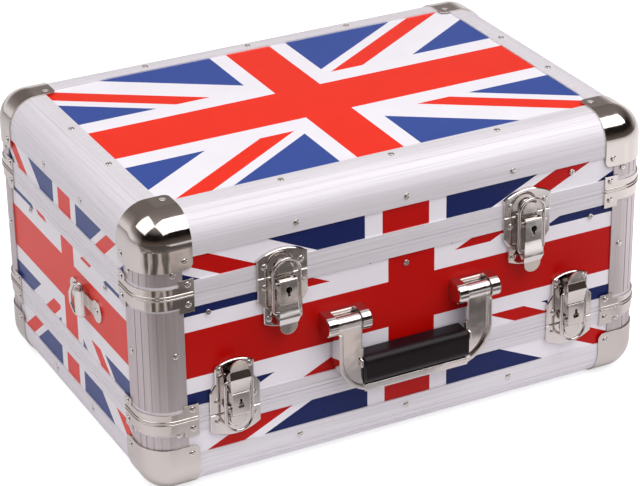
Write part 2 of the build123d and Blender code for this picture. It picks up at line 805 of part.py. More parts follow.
save(flat_board(lid_top, -1), "lid_top_panel")
save(side_boards(upper_split + board_end, lid_top - board_start), "lid_side_panels")
save(shell_edges(lid_top, -1), "lid_edge_extrusions")
save(corner_posts(upper_split + rim_end, lid_top - edge_leg), "lid_corner_posts")
save(rim(upper_split, 1, tongue=False), "lid_rim")
save(lid_ball_corners.part, "lid_ball_corners")
save(corner_braces(upper_split, 1), "lid_corner_braces")
save(tray_lining(lid_top, upper_split, -1), "lid_lining")
save(both_hinges(lid_leaf, upper_split), "upper_hinge_leaves_lid")

for name, frame in latch_frames.items():
    save(placed(latch_strike.part, frame), f"latch_strike_{name}")
    save(placed(latch_plate.part, frame), f"latch_plate_{name}")
    save(placed(latch_lever.part, frame), f"latch_lever_{name}")
    save(placed(latch_loop.part, frame), f"latch_loop_{name}")
latch_pin_pieces = [placed(latch_pin.part, frame) for frame in latch_frames.values()]
with BuildPart() as latch_pins:
    add(latch_pin_pieces)
save(latch_pins.part, "latch_pins")

with BuildPart(handle_frame) as handle_pins:
    with GridLocations(2 * bracket_x, 0, 2, 1):
        add(handle_pin.part)
save(handle_pins.part, "handle_pins")
save(placed(handle_bail.part, handle_frame), "handle_bail")
save(placed(handle_grip.part, handle_frame), "handle_grip")
for side_name, side in (("left", -1), ("right", 1)):
    with BuildPart(handle_frame) as bracket:
        with Locations((side * bracket_x, 0)):
            add(handle_bracket.part)
    save(bracket.part, f"handle_bracket_{side_name}")

left_strap_plate = placed(strap_plate.part, strap_frame)
left_strap_ring = placed(strap_ring.part, strap_frame)
save(left_strap_plate, "strap_plate_left")
save(left_strap_ring, "strap_ring_left")
with BuildPart() as strap_plate_right:
    mirror(left_strap_plate, about=Plane.YZ)
with BuildPart() as strap_ring_right:
    mirror(left_strap_ring, about=Plane.YZ)
save(strap_plate_right.part, "strap_plate_right")
save(strap_ring_right.part, "strap_ring_right")
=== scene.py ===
# %% [markdown]
# # A flight case with a flag print
#
# This lesson dresses a flight case that was first drawn as solids. Every piece already has its place,
# so the lesson is about finishes and about the small pieces that the solids leave out: rivets, screws,
# beads, lugs and the padded lining. Lengths are in metres. X runs along the front, Y from the front to
# the back, and Z is up.

# %% Load the solids
import math

import bpy
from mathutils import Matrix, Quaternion, Vector


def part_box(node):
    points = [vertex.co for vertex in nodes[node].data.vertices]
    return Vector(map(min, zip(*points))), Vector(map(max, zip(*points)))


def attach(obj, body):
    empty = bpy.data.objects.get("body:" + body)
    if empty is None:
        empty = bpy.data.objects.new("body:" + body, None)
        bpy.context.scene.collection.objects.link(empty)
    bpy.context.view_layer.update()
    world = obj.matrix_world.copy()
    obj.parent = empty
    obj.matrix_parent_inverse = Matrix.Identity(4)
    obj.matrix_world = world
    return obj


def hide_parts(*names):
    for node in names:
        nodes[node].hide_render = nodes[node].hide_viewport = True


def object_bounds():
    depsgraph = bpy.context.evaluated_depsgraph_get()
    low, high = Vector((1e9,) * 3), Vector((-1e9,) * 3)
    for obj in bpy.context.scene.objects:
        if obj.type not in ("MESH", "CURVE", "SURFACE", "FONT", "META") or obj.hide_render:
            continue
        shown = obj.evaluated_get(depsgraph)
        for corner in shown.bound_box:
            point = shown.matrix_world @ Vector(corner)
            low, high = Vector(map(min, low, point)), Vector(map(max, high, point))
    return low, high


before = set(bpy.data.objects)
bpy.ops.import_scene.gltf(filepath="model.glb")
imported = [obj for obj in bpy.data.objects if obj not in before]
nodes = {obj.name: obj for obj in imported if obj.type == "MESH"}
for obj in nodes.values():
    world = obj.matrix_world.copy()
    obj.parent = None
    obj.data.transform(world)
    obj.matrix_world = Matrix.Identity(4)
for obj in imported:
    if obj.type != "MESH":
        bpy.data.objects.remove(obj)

cad_low, cad_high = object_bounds()
print("the case is", [round(side * 1000) for side in cad_high - cad_low], "mm")

# %% [markdown]
# ## Camera
#
# A product photograph is taken from far off with a long lens, so that the case keeps its upright edges
# nearly parallel. The camera stands 2.1 m away, a little to the left, and looks down by 27 degrees. Its
# small roll is the tilt of the tripod.

# %% Camera
PHOTO_WIDTH = 640
PHOTO_FOCUS = 2471.5
camera_place = Vector((-0.8606, -1.6975, 1.0612))
camera_direction = Vector((0.4051, 0.7970, -0.4481))
camera_roll = math.radians(-0.82)

bpy.ops.object.select_all(action="DESELECT")
bpy.ops.object.camera_add(location=camera_place)
camera = bpy.context.object
camera.data.sensor_width = 36
camera.data.lens = camera.data.sensor_width * PHOTO_FOCUS / PHOTO_WIDTH
roll = Quaternion((0, 0, 1), camera_roll)
camera.rotation_euler = (camera_direction.to_track_quat("-Z", "Y") @ roll).to_euler()
bpy.context.scene.camera = camera
print("lens", round(camera.data.lens, 1), "mm")

# %% [markdown]
# ## Small helpers
#
# Colours are written as the hex values that a picture editor shows, and turned linear by one function.
# Another function adds a node to a tree, sets it and fills its inputs, so that a material reads as a
# list of steps. A millimetre is written as mm, because finishes have sizes of a few millimetres.

# %% Helpers
mm = 0.001


def linear(hex_colour):
    """The linear colour of an sRGB hex value."""
    channels = [int(hex_colour[start:start + 2], 16) / 255 for start in (1, 3, 5)]
    return [c / 12.92 if c <= 0.04045 else ((c + 0.055) / 1.055) ** 2.4 for c in channels] + [1]


def add_node(tree, kind, inputs=None, **settings):
    """Adds a node, with its settings, and with values or links for its inputs."""
    node = tree.nodes.new(kind)
    for name, value in settings.items():
        setattr(node, name, value)
    for socket, value in (inputs or {}).items():
        if isinstance(value, bpy.types.NodeSocket):
            tree.links.new(value, node.inputs[socket])
        else:
            node.inputs[socket].default_value = value
    return node.outputs[0]


def new_material(name):
    """An empty material, its node tree and its shader."""
    material = bpy.data.materials.new(name)
    material.use_nodes = True
    tree = material.node_tree
    return material, tree, tree.nodes["Principled BSDF"]


print("middle grey is", round(linear("#808080")[0], 3), "as a linear value")

# %% [markdown]
# ## Studio
#
# The case stands on a white table under two large soft boxes. Everything else in the room is dim and
# warm, so polished steel shows hard white shapes on brown and black. The world is that room. At the back,
# where the backdrop hangs, it is white up to the horizon and grey above. At the front it is brown, nearly
# black above the horizon, and a paler grey overhead. The camera, metal and glass all see it, and matt
# surfaces get a plain fill. The table is white where the camera sees it, but polished corners also mirror
# its left front, where the shade of a camera stand is painted into its colour, and its right, where a
# painted glow stands for full light.

# %% World
world = bpy.data.worlds.new("studio_room")
bpy.context.scene.world = world
world.use_nodes = True
room = world.node_tree
room.nodes.clear()
ray = room.nodes.new("ShaderNodeLightPath").outputs
direction = add_node(room, "ShaderNodeTexCoord")
look = room.nodes.new("ShaderNodeSeparateXYZ")
room.links.new(direction, look.inputs[0])
# tones from straight down, at 0, over the horizon, at 0.5, to straight up, at 1
FRONT_TONES = ((0.0, "#5b514b"), (0.5, "#6b615b"), (0.58, "#544a45"), (0.66, "#1d1816"), (0.78, "#15110f"),
               (1.0, "#a8a09d"))
BACK_TONES = ((0.0, "#fbf9fb"), (0.56, "#f8f6f8"), (0.65, "#a39c9a"), (0.74, "#7d7572"), (1.0, "#8d8582"))
room_tones = []
for tones in (FRONT_TONES, BACK_TONES):
    ramp = room.nodes.new("ShaderNodeValToRGB")
    room.links.new(add_node(room, "ShaderNodeMapRange", {0: look.outputs[2], 1: -1.0, 2: 1.0}), ramp.inputs[0])
    ramp.color_ramp.elements[0].color = linear(tones[0][1])
    ramp.color_ramp.elements[1].color = linear(tones[-1][1])
    for place, colour in tones[1:-1]:
        ramp.color_ramp.elements.new(place).color = linear(colour)
    room_tones.append(ramp.outputs[0])
behind = add_node(room, "ShaderNodeMapRange", {0: look.outputs[1], 1: -0.25, 2: 0.45})
room_colour = add_node(room, "ShaderNodeMixRGB", {0: behind, 1: room_tones[0], 2: room_tones[1]})
mirrored = add_node(room, "ShaderNodeBackground", {0: room_colour})
# the open front of the room sends more light to matt surfaces than its back
fill = add_node(room, "ShaderNodeMapRange", {0: look.outputs[1], 1: 0.2, 2: -1.0, 3: 0.32, 4: 0.88})
lighting = add_node(room, "ShaderNodeBackground", {0: linear("#efedf2"), 1: fill})
seen_or_mirrored = ray["Is Camera Ray"]
for kind in ("Is Glossy Ray", "Is Transmission Ray"):
    seen_or_mirrored = add_node(room, "ShaderNodeMath", {0: seen_or_mirrored, 1: ray[kind]},
                                operation="MAXIMUM")
every_ray = add_node(room, "ShaderNodeMixShader", {0: seen_or_mirrored, 1: lighting, 2: mirrored})
room_output = room.nodes.new("ShaderNodeOutputWorld")
room.links.new(every_ray, room_output.inputs[0])
print("the room has", len(room.nodes), "nodes")

# %% [markdown]
# The two lamps are rectangles of about 2 by 1.6 m, so close that their edges show in polished steel. A
# sun or a spot would give hard shadows and a single glint. The right one hangs in front and is stronger,
# and the left one hangs beside the case, so the top, the front and the left side each get their own tone.

# %% Soft boxes


def soft_box(name, place, target, width, height, watts):
    """A large rectangular lamp that looks at a point."""
    bpy.ops.object.light_add(type="AREA", location=place)
    lamp = bpy.context.object
    lamp.name = name
    lamp.data.shape = "RECTANGLE"
    lamp.data.size = width
    lamp.data.size_y = height
    lamp.data.energy = watts
    lamp.rotation_euler = (Vector(target) - Vector(place)).to_track_quat("-Z", "Y").to_euler()


case_middle = (cad_low + cad_high) / 2
soft_box("soft_box_left", (-1.3, 0.1, 1.9), case_middle, 2.0, 1.7, 18)
soft_box("soft_box_right", (0.55, -1.0, 1.9), case_middle, 2.1, 1.6, 29)
print("the lamps look at", [round(part / mm) for part in case_middle], "mm")

# %% [markdown]
# The table is white laminate, larger than the view. The photograph has a pure white ground, which could
# be had with stronger lamps, but those would bleach the case. So the table shines a little for the
# camera only, and keeps the case's shadow. What metal mirrors is worked out from the place on the table.

# %% Table
TABLE_SIZE = 12
bpy.ops.mesh.primitive_plane_add(size=TABLE_SIZE, location=(0, 0, cad_low.z))
table_top = bpy.context.object
table_top.name = "table_top"
white_table, table_tree, table_shader = new_material("white_laminate_table")
table_shader.inputs["Roughness"].default_value = 0.6
table_shader.inputs["Emission Color"].default_value = (1, 1, 1, 1)
table_spot = table_tree.nodes.new("ShaderNodeTexCoord").outputs["Object"]
table_place = table_tree.nodes.new("ShaderNodeSeparateXYZ")
table_tree.links.new(table_spot, table_place.inputs[0])
# the shade of the camera stand is painted into the table's colour at its front left, with a few pale
# things about 10 cm wide on it, and only metal shows it
shade = add_node(table_tree, "ShaderNodeMapRange", {0: table_place.outputs[1], 1: -0.18, 2: -0.35},
                 interpolation_type="SMOOTHSTEP")
left_part = add_node(table_tree, "ShaderNodeMapRange", {0: table_place.outputs[0], 1: 0.40, 2: 0.26, 3: 0.15},
                     interpolation_type="SMOOTHSTEP")
shade = add_node(table_tree, "ShaderNodeMath", {0: shade, 1: left_part}, operation="MULTIPLY")
things = add_node(table_tree, "ShaderNodeTexNoise",
                  {"Vector": table_spot, "Scale": 1 / (100 * mm), "Detail": 0.0})
pale_things = add_node(table_tree, "ShaderNodeMapRange", {0: things, 1: 0.46, 2: 0.62},
                       interpolation_type="SMOOTHSTEP")
# they lie within an arm's length, and the table beyond them is bare
near = add_node(table_tree, "ShaderNodeMapRange", {0: table_place.outputs[1], 1: -0.9, 2: -0.6})
pale_things = add_node(table_tree, "ShaderNodeMath", {0: pale_things, 1: near}, operation="MULTIPLY")
shaded = add_node(table_tree, "ShaderNodeMixRGB", {0: pale_things, 1: linear("#2e231d"), 2: linear("#c4bbb5")})
table_colour = add_node(table_tree, "ShaderNodeMixRGB", {0: shade, 1: linear("#e6e5e7"), 2: shaded})
table_tree.links.new(table_colour, table_shader.inputs["Base Color"])
table_ray = table_tree.nodes.new("ShaderNodeLightPath").outputs
seen = add_node(table_tree, "ShaderNodeMath",
                {0: table_ray["Is Camera Ray"], 1: table_ray["Is Transmission Ray"]}, operation="MAXIMUM")
# the right of the table glows for reflections only, a painted light that stands for full light there, so
# metal mirrors it whiter
mirror_lift = add_node(table_tree, "ShaderNodeMapRange",
                       {0: table_place.outputs[0], 1: 0.28, 2: 0.44, 3: 0.06, 4: 0.42})
glossy_lift = add_node(table_tree, "ShaderNodeMath", {0: table_ray["Is Glossy Ray"], 1: mirror_lift},
                       operation="MULTIPLY")
camera_lift = add_node(table_tree, "ShaderNodeMapRange", {0: shade, 3: 0.62, 4: 1.0})
lift = add_node(table_tree, "ShaderNodeMath", {0: seen, 1: camera_lift, 2: glossy_lift},
                operation="MULTIPLY_ADD")
table_tree.links.new(lift, table_shader.inputs["Emission Strength"])
table_top.data.materials.append(white_table)
print("the table is at", round(cad_low.z, 4))

# %% [markdown]
# ## The printed boards
#
# The boards are plywood with a printed plastic film on both sides. The film shows a traditional flag of
# crosses. It was printed on one sheet for each side of the case and then cut where the rims are, so the
# pattern shifts by a few millimetres from shell to shell. A flag is only straight bars, so it is worked
# out from distances: how far a point is from the upright bar, from the level bar and from the slanting
# bars. An image could be laid on each board, but it would show its dots close by, and the sums stay sharp
# and in millimetres. Each line below is one sum: its name, what it does, and what it works on.

# %% The flag, from distances
FLAG_SUMS = (
    ("from_upright", "ABSOLUTE", "across", 0.0),
    ("from_level", "ABSOLUTE", "up", 0.0),
    ("slant_x", "ADD", "across", "slant_across"),
    ("slant_z", "ADD", "up", "slant_up"),
    ("slant_out", "ABSOLUTE", "slant_x", 0.0),
    ("rise", "MULTIPLY", "slant_out", "slope"),
    ("slant_height", "ABSOLUTE", "slant_z", 0.0),
    ("beyond", "SUBTRACT", "slant_height", "rise"),
    ("quarter", "MULTIPLY", "slant_x", "slant_z"),
    ("quarter_sign", "SIGN", "quarter", 0.0),
    ("narrow_side", "MULTIPLY", "beyond", "quarter_sign"),
    ("from_slant", "ABSOLUTE", "beyond", 0.0),
    ("slant_white", "LESS_THAN", "from_slant", "slant_white_half"),
    ("red_offset", "SUBTRACT", "narrow_side", "slant_red_half"),
    ("from_red", "ABSOLUTE", "red_offset", 0.0),
    ("slant_red", "LESS_THAN", "from_red", "slant_red_half"),
    ("upright_white", "LESS_THAN", "from_upright", "upright_border"),
    ("level_white", "LESS_THAN", "from_level", "level_border"),
    ("cross_white", "MAXIMUM", "upright_white", "level_white"),
    ("upright_red", "LESS_THAN", "from_upright", "upright_half"),
    ("level_red", "LESS_THAN", "from_level", "level_half"),
    ("cross_red", "MAXIMUM", "upright_red", "level_red"),
)
# each face has its own inks, toned for the light it gets: the top's are the brightest, the front's red and blue
# are darker, a painted shade, and the side's are paler and greyer, a painted haze of reflection
TOP_INKS_PAINTED_LIT = {"blue": linear("#304b97"), "white": linear("#f0ecf1"), "red": linear("#ee2a10")}
FRONT_INKS_PAINTED_SHADE = {"blue": linear("#14225a"), "white": linear("#f4eff5"), "red": linear("#bf0803")}
SIDE_INKS_PAINTED_HAZE = {"blue": linear("#344886"), "white": linear("#f3eff3"), "red": linear("#ea3a2c")}


def flag_print(tree, known, inks_and_painted_light):
    """The colour of the flag, from the distances and sizes that are known, in inks toned with painted light for
    one face.
    """
    value = dict(known)
    for name, operation, first, second in FLAG_SUMS:
        works_on = {0: value.get(first, first), 1: value.get(second, second)}
        value[name] = add_node(tree, "ShaderNodeMath", works_on, operation=operation)
    colour = inks_and_painted_light["blue"]
    for where in ("slant_white", "slant_red", "cross_white", "cross_red"):
        bar_ink_and_light = inks_and_painted_light[where.split("_")[1]]
        colour = add_node(tree, "ShaderNodeMixRGB", {0: value[where], 1: colour, 2: bar_ink_and_light})
    return colour


print(len(FLAG_SUMS), "sums make a flag")

# %% Sizes of the flag on each side
front_flag = {"upright_half": 21.2 * mm, "level_half": 20.5 * mm, "upright_border": 37.0 * mm,
              "level_border": 34.2 * mm, "slope": 0.465, "slant_white_half": 23.5 * mm,
              "slant_red_half": 7.8 * mm}
side_flag = {"upright_half": 13.3 * mm, "level_half": 19.8 * mm, "upright_border": 24.3 * mm,
             "level_border": 33.8 * mm, "slope": 0.78, "slant_white_half": 22.5 * mm,
             "slant_red_half": 7.5 * mm}
top_flag = {"upright_half": 21.2 * mm, "level_half": 28.4 * mm, "upright_border": 36.8 * mm,
            "level_border": 47.9 * mm, "slope": 0.66, "slant_white_half": 32.5 * mm,
            "slant_red_half": 10.25 * mm, "slant_across": 0.0, "slant_up": 0.0}

lower_split = (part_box("base_rim")[1].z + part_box("middle_lower_rim")[0].z) / 2
upper_split = (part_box("middle_upper_rim")[1].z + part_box("lid_rim")[0].z) / 2
print("the splits are at", round(lower_split / mm, 1), "and", round(upper_split / mm, 1), "mm")

# %% [markdown]
# The three shells show pieces of the print that don't quite meet. A value that differs between them is
# found from the height: the base's value, plus a step at each split.

# %% Printed film
printed_film, tree, shader = new_material("printed_film_on_plywood")
coordinates = tree.nodes.new("ShaderNodeTexCoord").outputs
place = tree.nodes.new("ShaderNodeSeparateXYZ")
tree.links.new(coordinates["Object"], place.inputs[0])
facing = tree.nodes.new("ShaderNodeSeparateXYZ")
tree.links.new(coordinates["Normal"], facing.inputs[0])
x, y, z = place.outputs
in_middle = add_node(tree, "ShaderNodeMath", {0: z, 1: lower_split}, operation="GREATER_THAN")
in_lid = add_node(tree, "ShaderNodeMath", {0: z, 1: upper_split}, operation="GREATER_THAN")


def by_shell(base_value, middle_value, lid_value):
    """A value that differs between the base, the middle and the lid."""
    value = base_value
    for inside, step in ((in_middle, middle_value - base_value), (in_lid, lid_value - middle_value)):
        value = add_node(tree, "ShaderNodeMath", {0: inside, 1: step, 2: value}, operation="MULTIPLY_ADD")
    return value


def upright_print(along, outward, level_height, sizes, inks_and_painted_light, shifts, slant_shifts, slant_drops):
    """The flag on two opposite sides, turned so that it reads the same way from outside on both."""
    hand = add_node(tree, "ShaderNodeMath", {0: outward}, operation="SIGN")
    shift = add_node(tree, "ShaderNodeMath", {0: by_shell(*shifts), 1: -1.0}, operation="MULTIPLY")
    known = {
        "across": add_node(tree, "ShaderNodeMath", {0: along, 1: hand, 2: shift}, operation="MULTIPLY_ADD"),
        "up": add_node(tree, "ShaderNodeMath", {0: z, 1: level_height}, operation="SUBTRACT"),
        "slant_across": by_shell(*slant_shifts),
        "slant_up": by_shell(*slant_drops),
    }
    return flag_print(tree, {**known, **sizes}, inks_and_painted_light)


FRONT_LEVEL_BAR = 124.2 * mm
SIDE_LEVEL_BAR = 127.1 * mm
TOP_SHIFT = (3.5 * mm, 2.2 * mm)
from_front = add_node(tree, "ShaderNodeMath", {0: facing.outputs[1], 1: -1.0}, operation="MULTIPLY")
front_print_and_shade = upright_print(x, from_front, FRONT_LEVEL_BAR, front_flag, FRONT_INKS_PAINTED_SHADE, (1.5 * mm, 5.2 * mm, 0.0),
                            (0.0, 0.0, 0.0), (4.7 * mm, 0.0, -4.2 * mm))
side_print_and_haze = upright_print(y, facing.outputs[0], SIDE_LEVEL_BAR, side_flag, SIDE_INKS_PAINTED_HAZE,
                           (-3.2 * mm, -0.8 * mm, -1.1 * mm), (-3.0 * mm, -1.5 * mm, 0.0),
                           (4.1 * mm, 2.0 * mm, 3.0 * mm))
top_across = add_node(tree, "ShaderNodeMath", {0: x, 1: TOP_SHIFT[0]}, operation="ADD")
top_up = add_node(tree, "ShaderNodeMath", {0: y, 1: TOP_SHIFT[1]}, operation="ADD")
top_print_and_light = flag_print(tree, {"across": top_across, "up": top_up, **top_flag}, TOP_INKS_PAINTED_LIT)
sideways = add_node(tree, "ShaderNodeMath", {0: facing.outputs[0]}, operation="ABSOLUTE")
upwards = add_node(tree, "ShaderNodeMath", {0: facing.outputs[2]}, operation="ABSOLUTE")
on_side = add_node(tree, "ShaderNodeMath", {0: sideways, 1: 0.5}, operation="GREATER_THAN")
on_top = add_node(tree, "ShaderNodeMath", {0: upwards, 1: 0.5}, operation="GREATER_THAN")
walls_print_and_light = add_node(tree, "ShaderNodeMixRGB", {0: on_side, 1: front_print_and_shade, 2: side_print_and_haze})
print_and_light_colour = add_node(tree, "ShaderNodeMixRGB", {0: on_top, 1: walls_print_and_light, 2: top_print_and_light})
print("the film has", len(tree.nodes), "nodes")

# %% [markdown]
# Ink on film is never quite even. Its depth wanders by a few percent over some centimetres, and the film
# has a faint orange peel from the plywood under it, about 2 mm across. It is a satin film: soft
# reflections of the soft boxes lie over the colours.

# %% Ink and film
ink = add_node(
    tree, "ShaderNodeTexNoise", {"Vector": coordinates["Object"], "Scale": 1 / (35 * mm), "Detail": 5.0}
)
ink_depth = add_node(tree, "ShaderNodeMapRange", {0: ink, 3: 0.93, 4: 1.05})
deepened = add_node(tree, "ShaderNodeVectorMath", {0: print_and_light_colour, "Scale": ink_depth}, operation="SCALE")
tree.links.new(deepened, shader.inputs["Base Color"])
handling = add_node(
    tree, "ShaderNodeTexNoise", {"Vector": coordinates["Object"], "Scale": 1 / (50 * mm), "Detail": 4.0}
)
satin = add_node(tree, "ShaderNodeMapRange", {0: handling, 3: 0.24, 4: 0.36})
tree.links.new(satin, shader.inputs["Roughness"])
shader.inputs["Specular IOR Level"].default_value = 0.2
peel = add_node(
    tree, "ShaderNodeTexNoise", {"Vector": coordinates["Object"], "Scale": 1 / (2.2 * mm), "Detail": 2.0}
)
peeled = add_node(tree, "ShaderNodeBump", {"Height": peel, "Strength": 0.05, "Distance": 0.1 * mm})
tree.links.new(peeled, shader.inputs["Normal"])
print("the finished film has", len(tree.nodes), "nodes")

# %% [markdown]
# ## Anodised aluminium
#
# The edges, corner posts and rims are extruded aluminium with a clear satin anodise. Its etched oxide
# skin scatters a good part of the light, like chalk, so the shader is only partly metallic. The die
# leaves fine lines along each bar, so the grain is noise that is stretched along the bar and left fine
# across it: it has no seams, as a laid-on texture would, and keeps its real size. The bars lie in three
# directions. An edge frame has bars along X and bars along Y in one piece, so its lines change over
# where the short bars begin.

# %% Anodised extrusion
ALONG_X = (0.01, 1.0, 1.0)
ALONG_Y = (1.0, 0.01, 1.0)
ROUND_THE_CASE = (0.01, 0.01, 1.0)
UPRIGHT = (1.0, 1.0, 0.01)
BAR_WIDTH = 26 * mm
short_bars_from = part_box("lid_side_panels")[1].x - BAR_WIDTH


def anodised(name, stretch, short_bar_stretch=None, low="#e4dfe4", high="#f6f3f7", satin_from=0.66, bare=0.5):
    """Satin aluminium whose die lines run where the stretch is small."""
    material, metal_tree, metal = new_material(name)
    metal.inputs["Metallic"].default_value = bare
    spot = metal_tree.nodes.new("ShaderNodeTexCoord").outputs["Object"]
    lines_at = add_node(metal_tree, "ShaderNodeMapping", {"Vector": spot, "Scale": stretch})
    if short_bar_stretch:
        short_at = add_node(metal_tree, "ShaderNodeMapping", {"Vector": spot, "Scale": short_bar_stretch})
        bar_x = add_node(metal_tree, "ShaderNodeSeparateXYZ", {0: spot})
        from_middle = add_node(metal_tree, "ShaderNodeMath", {0: bar_x}, operation="ABSOLUTE")
        on_short_bar = add_node(
            metal_tree, "ShaderNodeMath", {0: from_middle, 1: short_bars_from}, operation="GREATER_THAN"
        )
        lines_at = add_node(metal_tree, "ShaderNodeMixRGB", {0: on_short_bar, 1: lines_at, 2: short_at})
    lines = add_node(
        metal_tree, "ShaderNodeTexNoise", {"Vector": lines_at, "Scale": 1 / (1.3 * mm), "Detail": 3.0}
    )
    clouds = add_node(metal_tree, "ShaderNodeTexNoise", {"Vector": spot, "Scale": 1 / (40 * mm), "Detail": 4.0})
    tone = add_node(metal_tree, "ShaderNodeMapRange", {0: lines, 1: 0.2, 2: 0.8})
    colour = add_node(metal_tree, "ShaderNodeMixRGB", {0: tone, 1: linear(low), 2: linear(high)})
    metal_tree.links.new(colour, metal.inputs["Base Color"])
    satin = add_node(metal_tree, "ShaderNodeMapRange", {0: clouds, 3: satin_from, 4: satin_from + 0.1})
    metal_tree.links.new(satin, metal.inputs["Roughness"])
    relief = add_node(metal_tree, "ShaderNodeBump", {"Height": lines, "Strength": 0.06, "Distance": 0.05 * mm})
    metal_tree.links.new(relief, metal.inputs["Normal"])
    return material


rim_aluminium = anodised("anodised_aluminium_rim", ROUND_THE_CASE)
# the posts come from a smoother die and a lighter etch, so they mirror more
post_aluminium = anodised("anodised_aluminium_post", UPRIGHT, low="#bfb5b6", high="#d0c6c7", satin_from=0.36,
                          bare=0.85)
edge_aluminium = anodised("anodised_aluminium_edge", ALONG_X, ALONG_Y)
print("die lines on three kinds of bar")

# %% [markdown]
# ## Polished steel
#
# The ball corners and braces are stamped steel, polished and nickel plated, which gives a warm grey
# mirror. The latches, the handle and the strap plates are chromium plated and a little lighter. A
# plated stamping is never quite flat, so a slow wave bends its reflections, and finger marks and
# hairline scratches break its gloss. A stamped edge is rounded by a few tenths of a millimetre, which
# catches the light in a thin line. It could be bevelled in the mesh, but a bevel node gives the shader
# that round and leaves the solids alone.

# %% Plated steel


def plated(name, tint, gloss, wave_height, edge_round):
    """Bright plating over stamped or cast metal."""
    material, metal_tree, metal = new_material(name)
    metal.inputs["Metallic"].default_value = 1.0
    metal.inputs["Base Color"].default_value = linear(tint)
    spot = metal_tree.nodes.new("ShaderNodeTexCoord").outputs["Object"]
    marks = add_node(metal_tree, "ShaderNodeTexNoise", {"Vector": spot, "Scale": 1 / (9 * mm), "Detail": 5.0})
    dulled = add_node(metal_tree, "ShaderNodeMapRange", {0: marks, 1: 0.25, 2: 0.85, 3: gloss, 4: gloss + 0.12})
    metal_tree.links.new(dulled, metal.inputs["Roughness"])
    rounded = add_node(metal_tree, "ShaderNodeBevel", {"Radius": edge_round}, samples=4)
    wave = add_node(metal_tree, "ShaderNodeTexNoise", {"Vector": spot, "Scale": 1 / (14 * mm), "Detail": 1.0})
    bent = add_node(metal_tree, "ShaderNodeBump",
                    {"Height": wave, "Strength": 1.0, "Distance": wave_height, "Normal": rounded})
    hair_at = add_node(metal_tree, "ShaderNodeMapping", {"Vector": spot, "Scale": (0.08, 1.0, 1.0)})
    hair = add_node(
        metal_tree, "ShaderNodeTexNoise", {"Vector": hair_at, "Scale": 1 / (0.5 * mm), "Detail": 2.0}
    )
    scratched = add_node(metal_tree, "ShaderNodeBump",
                         {"Height": hair, "Strength": 0.06, "Distance": 0.02 * mm, "Normal": bent})
    metal_tree.links.new(scratched, metal.inputs["Normal"])
    return material


corner_steel = plated("nickel_plated_steel", "#d2cac5", 0.04, 0.12 * mm, 0.3 * mm)
bright_chrome = plated("chromium_plated_steel", "#d9d3d0", 0.05, 0.10 * mm, 0.25 * mm)
# the latches are pressed from thick sheet, whose cut edges are rounder
pressed_chrome = plated("chromium_plated_pressing", "#dfd9d6", 0.05, 0.16 * mm, 0.7 * mm)
# the bail is a zinc casting, and its edges were rounded by tumbling before it was plated
cast_chrome = plated("chromium_plated_zinc_casting", "#e3dddb", 0.05, 0.25 * mm, 2.2 * mm)
print("four platings")

# %% [markdown]
# The flat top and underside of a ball corner are pressed over their rivet, so nothing stands above the
# corner there. The rivet shows as a low round rise with a dimple. It is relief in the finish: a height
# that depends on the distance from the rivet's axis, the same in all four corners.

# %% Pressed rivets of the ball corners
RIVET_RADIUS = 2.8 * mm
CAP_INSET = 36 * mm
rim_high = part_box("lid_rim")[1]
tree = corner_steel.node_tree
shader = tree.nodes["Principled BSDF"]
apart = add_node(tree, "ShaderNodeVectorMath", {0: tree.nodes.new("ShaderNodeTexCoord").outputs["Object"]},
                 operation="ABSOLUTE")
rivet_axis = (rim_high.x - CAP_INSET, rim_high.y - CAP_INSET, 0)
apart = add_node(tree, "ShaderNodeVectorMath", {0: apart, 1: rivet_axis}, operation="SUBTRACT")
level = add_node(tree, "ShaderNodeVectorMath", {0: apart, 1: (1, 1, 0)}, operation="MULTIPLY")
length = add_node(tree, "ShaderNodeVectorMath", {0: level}, operation="LENGTH").node.outputs["Value"]
rise = add_node(tree, "ShaderNodeMapRange", {0: length, 1: RIVET_RADIUS, 2: RIVET_RADIUS / 2},
                interpolation_type="SMOOTHSTEP")
dimple = add_node(tree, "ShaderNodeMapRange", {0: length, 1: RIVET_RADIUS / 2, 2: RIVET_RADIUS / 4, 4: 0.7},
                  interpolation_type="SMOOTHSTEP")
relief = add_node(tree, "ShaderNodeMath", {0: rise, 1: dimple}, operation="SUBTRACT")
plain = shader.inputs["Normal"].links[0].from_socket
pressed = add_node(tree, "ShaderNodeBump",
                   {"Height": relief, "Strength": 1.0, "Distance": 0.9 * mm, "Normal": plain})
tree.links.new(pressed, shader.inputs["Normal"])
print("the rivets are", round(CAP_INSET / mm), "mm in from the rims")

# %% [markdown]
# ## Grip
#
# The grip is moulded in black polypropylene with a fine spark-eroded grain, so its highlight is a soft
# band along the top. A plain black would look like paint, so its tone and gloss wander a little, as
# handling leaves them, and the grain is relief.

# %% Moulded grip
moulded_black, tree, shader = new_material("moulded_black_polypropylene")
spot = tree.nodes.new("ShaderNodeTexCoord").outputs["Object"]
shader.inputs["IOR"].default_value = 1.49
shader.inputs["Specular IOR Level"].default_value = 0.25
cloud = add_node(tree, "ShaderNodeTexNoise", {"Vector": spot, "Scale": 1 / (12 * mm), "Detail": 5.0})
worn = add_node(tree, "ShaderNodeMixRGB", {0: cloud, 1: linear("#10080d"), 2: linear("#1a1016")})
tree.links.new(worn, shader.inputs["Base Color"])
sheen = add_node(tree, "ShaderNodeMapRange", {0: cloud, 3: 0.30, 4: 0.42})
tree.links.new(sheen, shader.inputs["Roughness"])
grain = add_node(tree, "ShaderNodeTexNoise", {"Vector": spot, "Scale": 1 / (0.7 * mm), "Detail": 3.0})
grained = add_node(tree, "ShaderNodeBump", {"Height": grain, "Strength": 0.35, "Distance": 0.08 * mm})
tree.links.new(grained, shader.inputs["Normal"])
print("the grip's material has", len(tree.nodes), "nodes")

